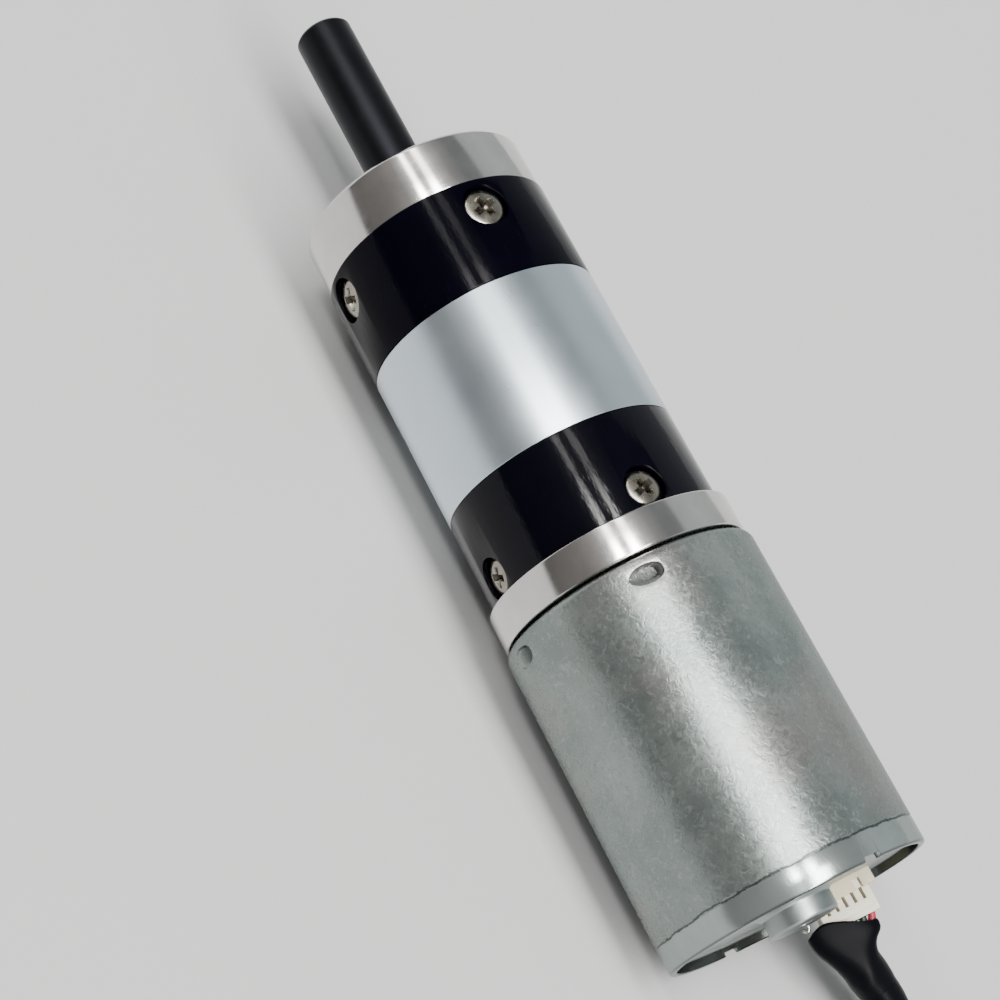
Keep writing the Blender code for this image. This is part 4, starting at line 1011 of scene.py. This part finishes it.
def make_boot(route):
    """The shrunk sleeve: an oblique flattened mouth over the plug's wires, narrowing onto the round cable."""
    to_lead = LEAD_FRAME.inverted()
    outer = [
        boot_ring(-111.3, -5.2, -7.6, 4.6, 1.75, 0.62, mouth=True),
        boot_ring(-112.0, -5.2, -7.7, 4.55, 1.8, 0.64, (0.12, 0.0)),
        boot_ring(-112.8, -5.15, -7.9, 4.0, 2.0, 0.72, (0.05, -0.1)),
        boot_ring(-113.7, -5.15, -8.15, 3.3, 2.3, 0.85, (-0.08, -0.25)),
        boot_ring(-114.6, -5.2, -8.4, 2.9, 2.55, 0.95, (-0.15, -0.4)),
        boot_ring(-115.5, -5.35, -8.7, 2.7, 2.65, 1.0, (-0.25, -0.5)),
        boot_ring(-116.3, -5.58, -9.15, 2.78, 2.78, 1.0, (-0.3, -0.5)),
    ]
    for i, radius in ((1, 2.76 * MM), (2, 2.68 * MM), (2, 2.5 * MM)):
        centre = to_lead @ route[i]
        ahead = (to_lead @ route[i + 1] - centre).normalized()
        side = (Vector((0, 1, 0)) - ahead.y * ahead).normalized()
        up = side.cross(ahead)
        up = up if up.z > 0 else -up
        turns = [math.tau * k / BOOT_SIDES for k in range(BOOT_SIDES)]
        outer.append([centre + radius * (math.cos(t) * side + math.sin(t) * up) for t in turns])
    inner = [
        boot_ring(-111.35, -5.2, -7.6, 4.2, 1.4, 0.62, mouth=True),
        boot_ring(-112.6, -5.2, -7.7, 3.9, 1.3, 0.66),
    ]
    mesh = to_mesh(skin([*reversed(inner), *outer]), "shrunk_boot", 60)
    boot = add_turned("shrunk_boot", mesh, "black_sleeve", ["lead_boot"])
    smooth = boot.modifiers.new("smooth", "SUBSURF")
    smooth.levels = smooth.render_levels = 1
    return boot


# Pieces inside keep their CAD shapes


def finish_inner_pieces():
    """Every CAD node still shown gets its slot's full material and smooth shading."""
    slots = {entry["node"]: entry["material_slot"] for entry in frame["record"]["subparts"]}
    for name, obj in frame["nodes"].items():
        obj.data.materials.clear()
        obj.data.materials.append(MATERIALS[slots[name]])
        obj.data.shade_smooth()
        obj.data.set_sharp_from_angle(angle=math.radians(28))


# Surroundings


def make_floor():
    """A plain pale table top."""
    cage = bmesh.new()
    bmesh.ops.create_grid(cage, x_segments=1, y_segments=1, size=2.5)
    mesh = to_mesh(cage, "table_top")
    made, tree, main = shader("pale_table")
    cloud = noise(tree, place(tree), 6, detail=4)
    tone = blend(tree, spread(tree, cloud, 0, 1), (0.394, 0.399, 0.402), (0.404, 0.409, 0.412))
    feed(tree, main, {"Base Color": tone, "Roughness": 0.55})
    bump(tree, main, noise(tree, place(tree), 900, detail=3), 0.01 * MM)
    mesh.materials.append(made)
    floor = show("table_top", mesh)
    floor.location.z = FLOOR_Z


# The room's light by the angle about the shaft line: degrees from +Z towards +Y, radiance and tint.
# Two strips run overhead, bright above the motor and dim on the shaft's side, with a dark gap between
# them. The lead's side has one wide strip.
ROOM_PEAK = 50.0
NEUTRAL, GREEN_GREY = (1.0, 1.0, 1.0), (0.93, 1.0, 1.02)
WARM_DARK, WARM_WHITE = (1.0, 0.96, 0.94), (1.0, 0.985, 0.965)
WALLS_LEFT = (
    (-180, 0.6, NEUTRAL),
    (-92, 0.62, GREEN_GREY),
    (-60, 0.70, GREEN_GREY),
    (-39, 0.60, GREEN_GREY),
    (-36, 0.28, GREEN_GREY),
    (-22, 0.27, GREEN_GREY),
    (-10, 0.40, NEUTRAL),
)
WALLS_RIGHT = (
    (27, 1.2, NEUTRAL),
    (31, 0.75, NEUTRAL),
    (37, 0.42, WARM_DARK),
    (53, 0.27, WARM_DARK),
    (86, 0.17, WARM_DARK),
    (90, 1.1, NEUTRAL),
    (180, 0.6, NEUTRAL),
)


def two_strips(first, second):
    """The whole round of light with a strip of each radiance overhead."""
    near = ((6.2, 1.4), (7.4, first), (12.2, first), (13.4, 1.0))
    far = ((20.8, 1.0), (21.6, second), (25.0, second))
    overhead = [(degrees, radiance, WARM_WHITE) for degrees, radiance in near + far]
    return (*WALLS_LEFT, (-1, 0.7, NEUTRAL), *overhead, *WALLS_RIGHT)


SHAFT_SIDE = two_strips(7.6, 10.2)
MOTOR_SIDE = two_strips(40.0, 50.0)
LEAD_SIDE = (
    *WALLS_LEFT,
    (-2.5, 0.8, WARM_WHITE),
    (0, 27.0, WARM_WHITE),
    (6.2, 29.0, WARM_WHITE),
    (12.2, 33.0, WARM_WHITE),
    (13.4, 0.8, WARM_WHITE),
    (20.8, 0.8, WARM_WHITE),
    (21.6, 3.0, WARM_WHITE),
    (25.0, 3.0, WARM_WHITE),
    *WALLS_RIGHT,
)


def room_ramp(tree, share, stops):
    """A colour ramp over the whole turn, from -180 to 180 degrees, as shares of the room's peak."""
    ramp = node(tree, "ShaderNodeValToRGB", {"Fac": share})
    elements = ramp.color_ramp.elements
    while len(elements) < len(stops):
        elements.new(0.5)
    for element, (degrees, radiance, tint) in zip(elements, stops, strict=True):
        element.position = degrees / 360 + 0.5
        element.color = (*(radiance / ROOM_PEAK * channel for channel in tint), 1)
    return ramp.outputs["Color"]


def make_lights():
    """The room: its light changes with the angle about the shaft line and with the direction's own X."""
    world = bpy.data.worlds.new("room")
    bpy.context.scene.world = world
    world.use_nodes = True
    tree = world.node_tree
    x, _, angle = polar(tree, node(tree, "ShaderNodeTexCoord").outputs["Generated"])
    share = spread(tree, angle, 0, 1, -math.pi, math.pi)
    ahead = spread(tree, x, 0, 1, 0.08, 0.31)
    bright = blend(tree, ahead, room_ramp(tree, share, MOTOR_SIDE), room_ramp(tree, share, SHAFT_SIDE))
    behind = spread(tree, x, 0, 1, -0.1, 0.0)
    room = blend(tree, behind, room_ramp(tree, share, LEAD_SIDE), bright)
    feed(tree, tree.nodes["Background"], {"Color": room, "Strength": ROOM_PEAK})


def build():
    make_camera()
    cable, route = make_cable()
    make_tie()
    far_pieces = make_end_connector()
    make_front_cap()
    make_sleeve("front", "black_anodised_front")
    make_ring_gear()
    make_sleeve("rear", "black_anodised")
    make_motor_plate()
    make_screws()
    make_output_shaft()
    make_can()
    make_end_cap()
    make_header()
    make_plug()
    make_pin()
    make_boot(route)
    finish_inner_pieces()
    make_floor()
    make_lights()


build()
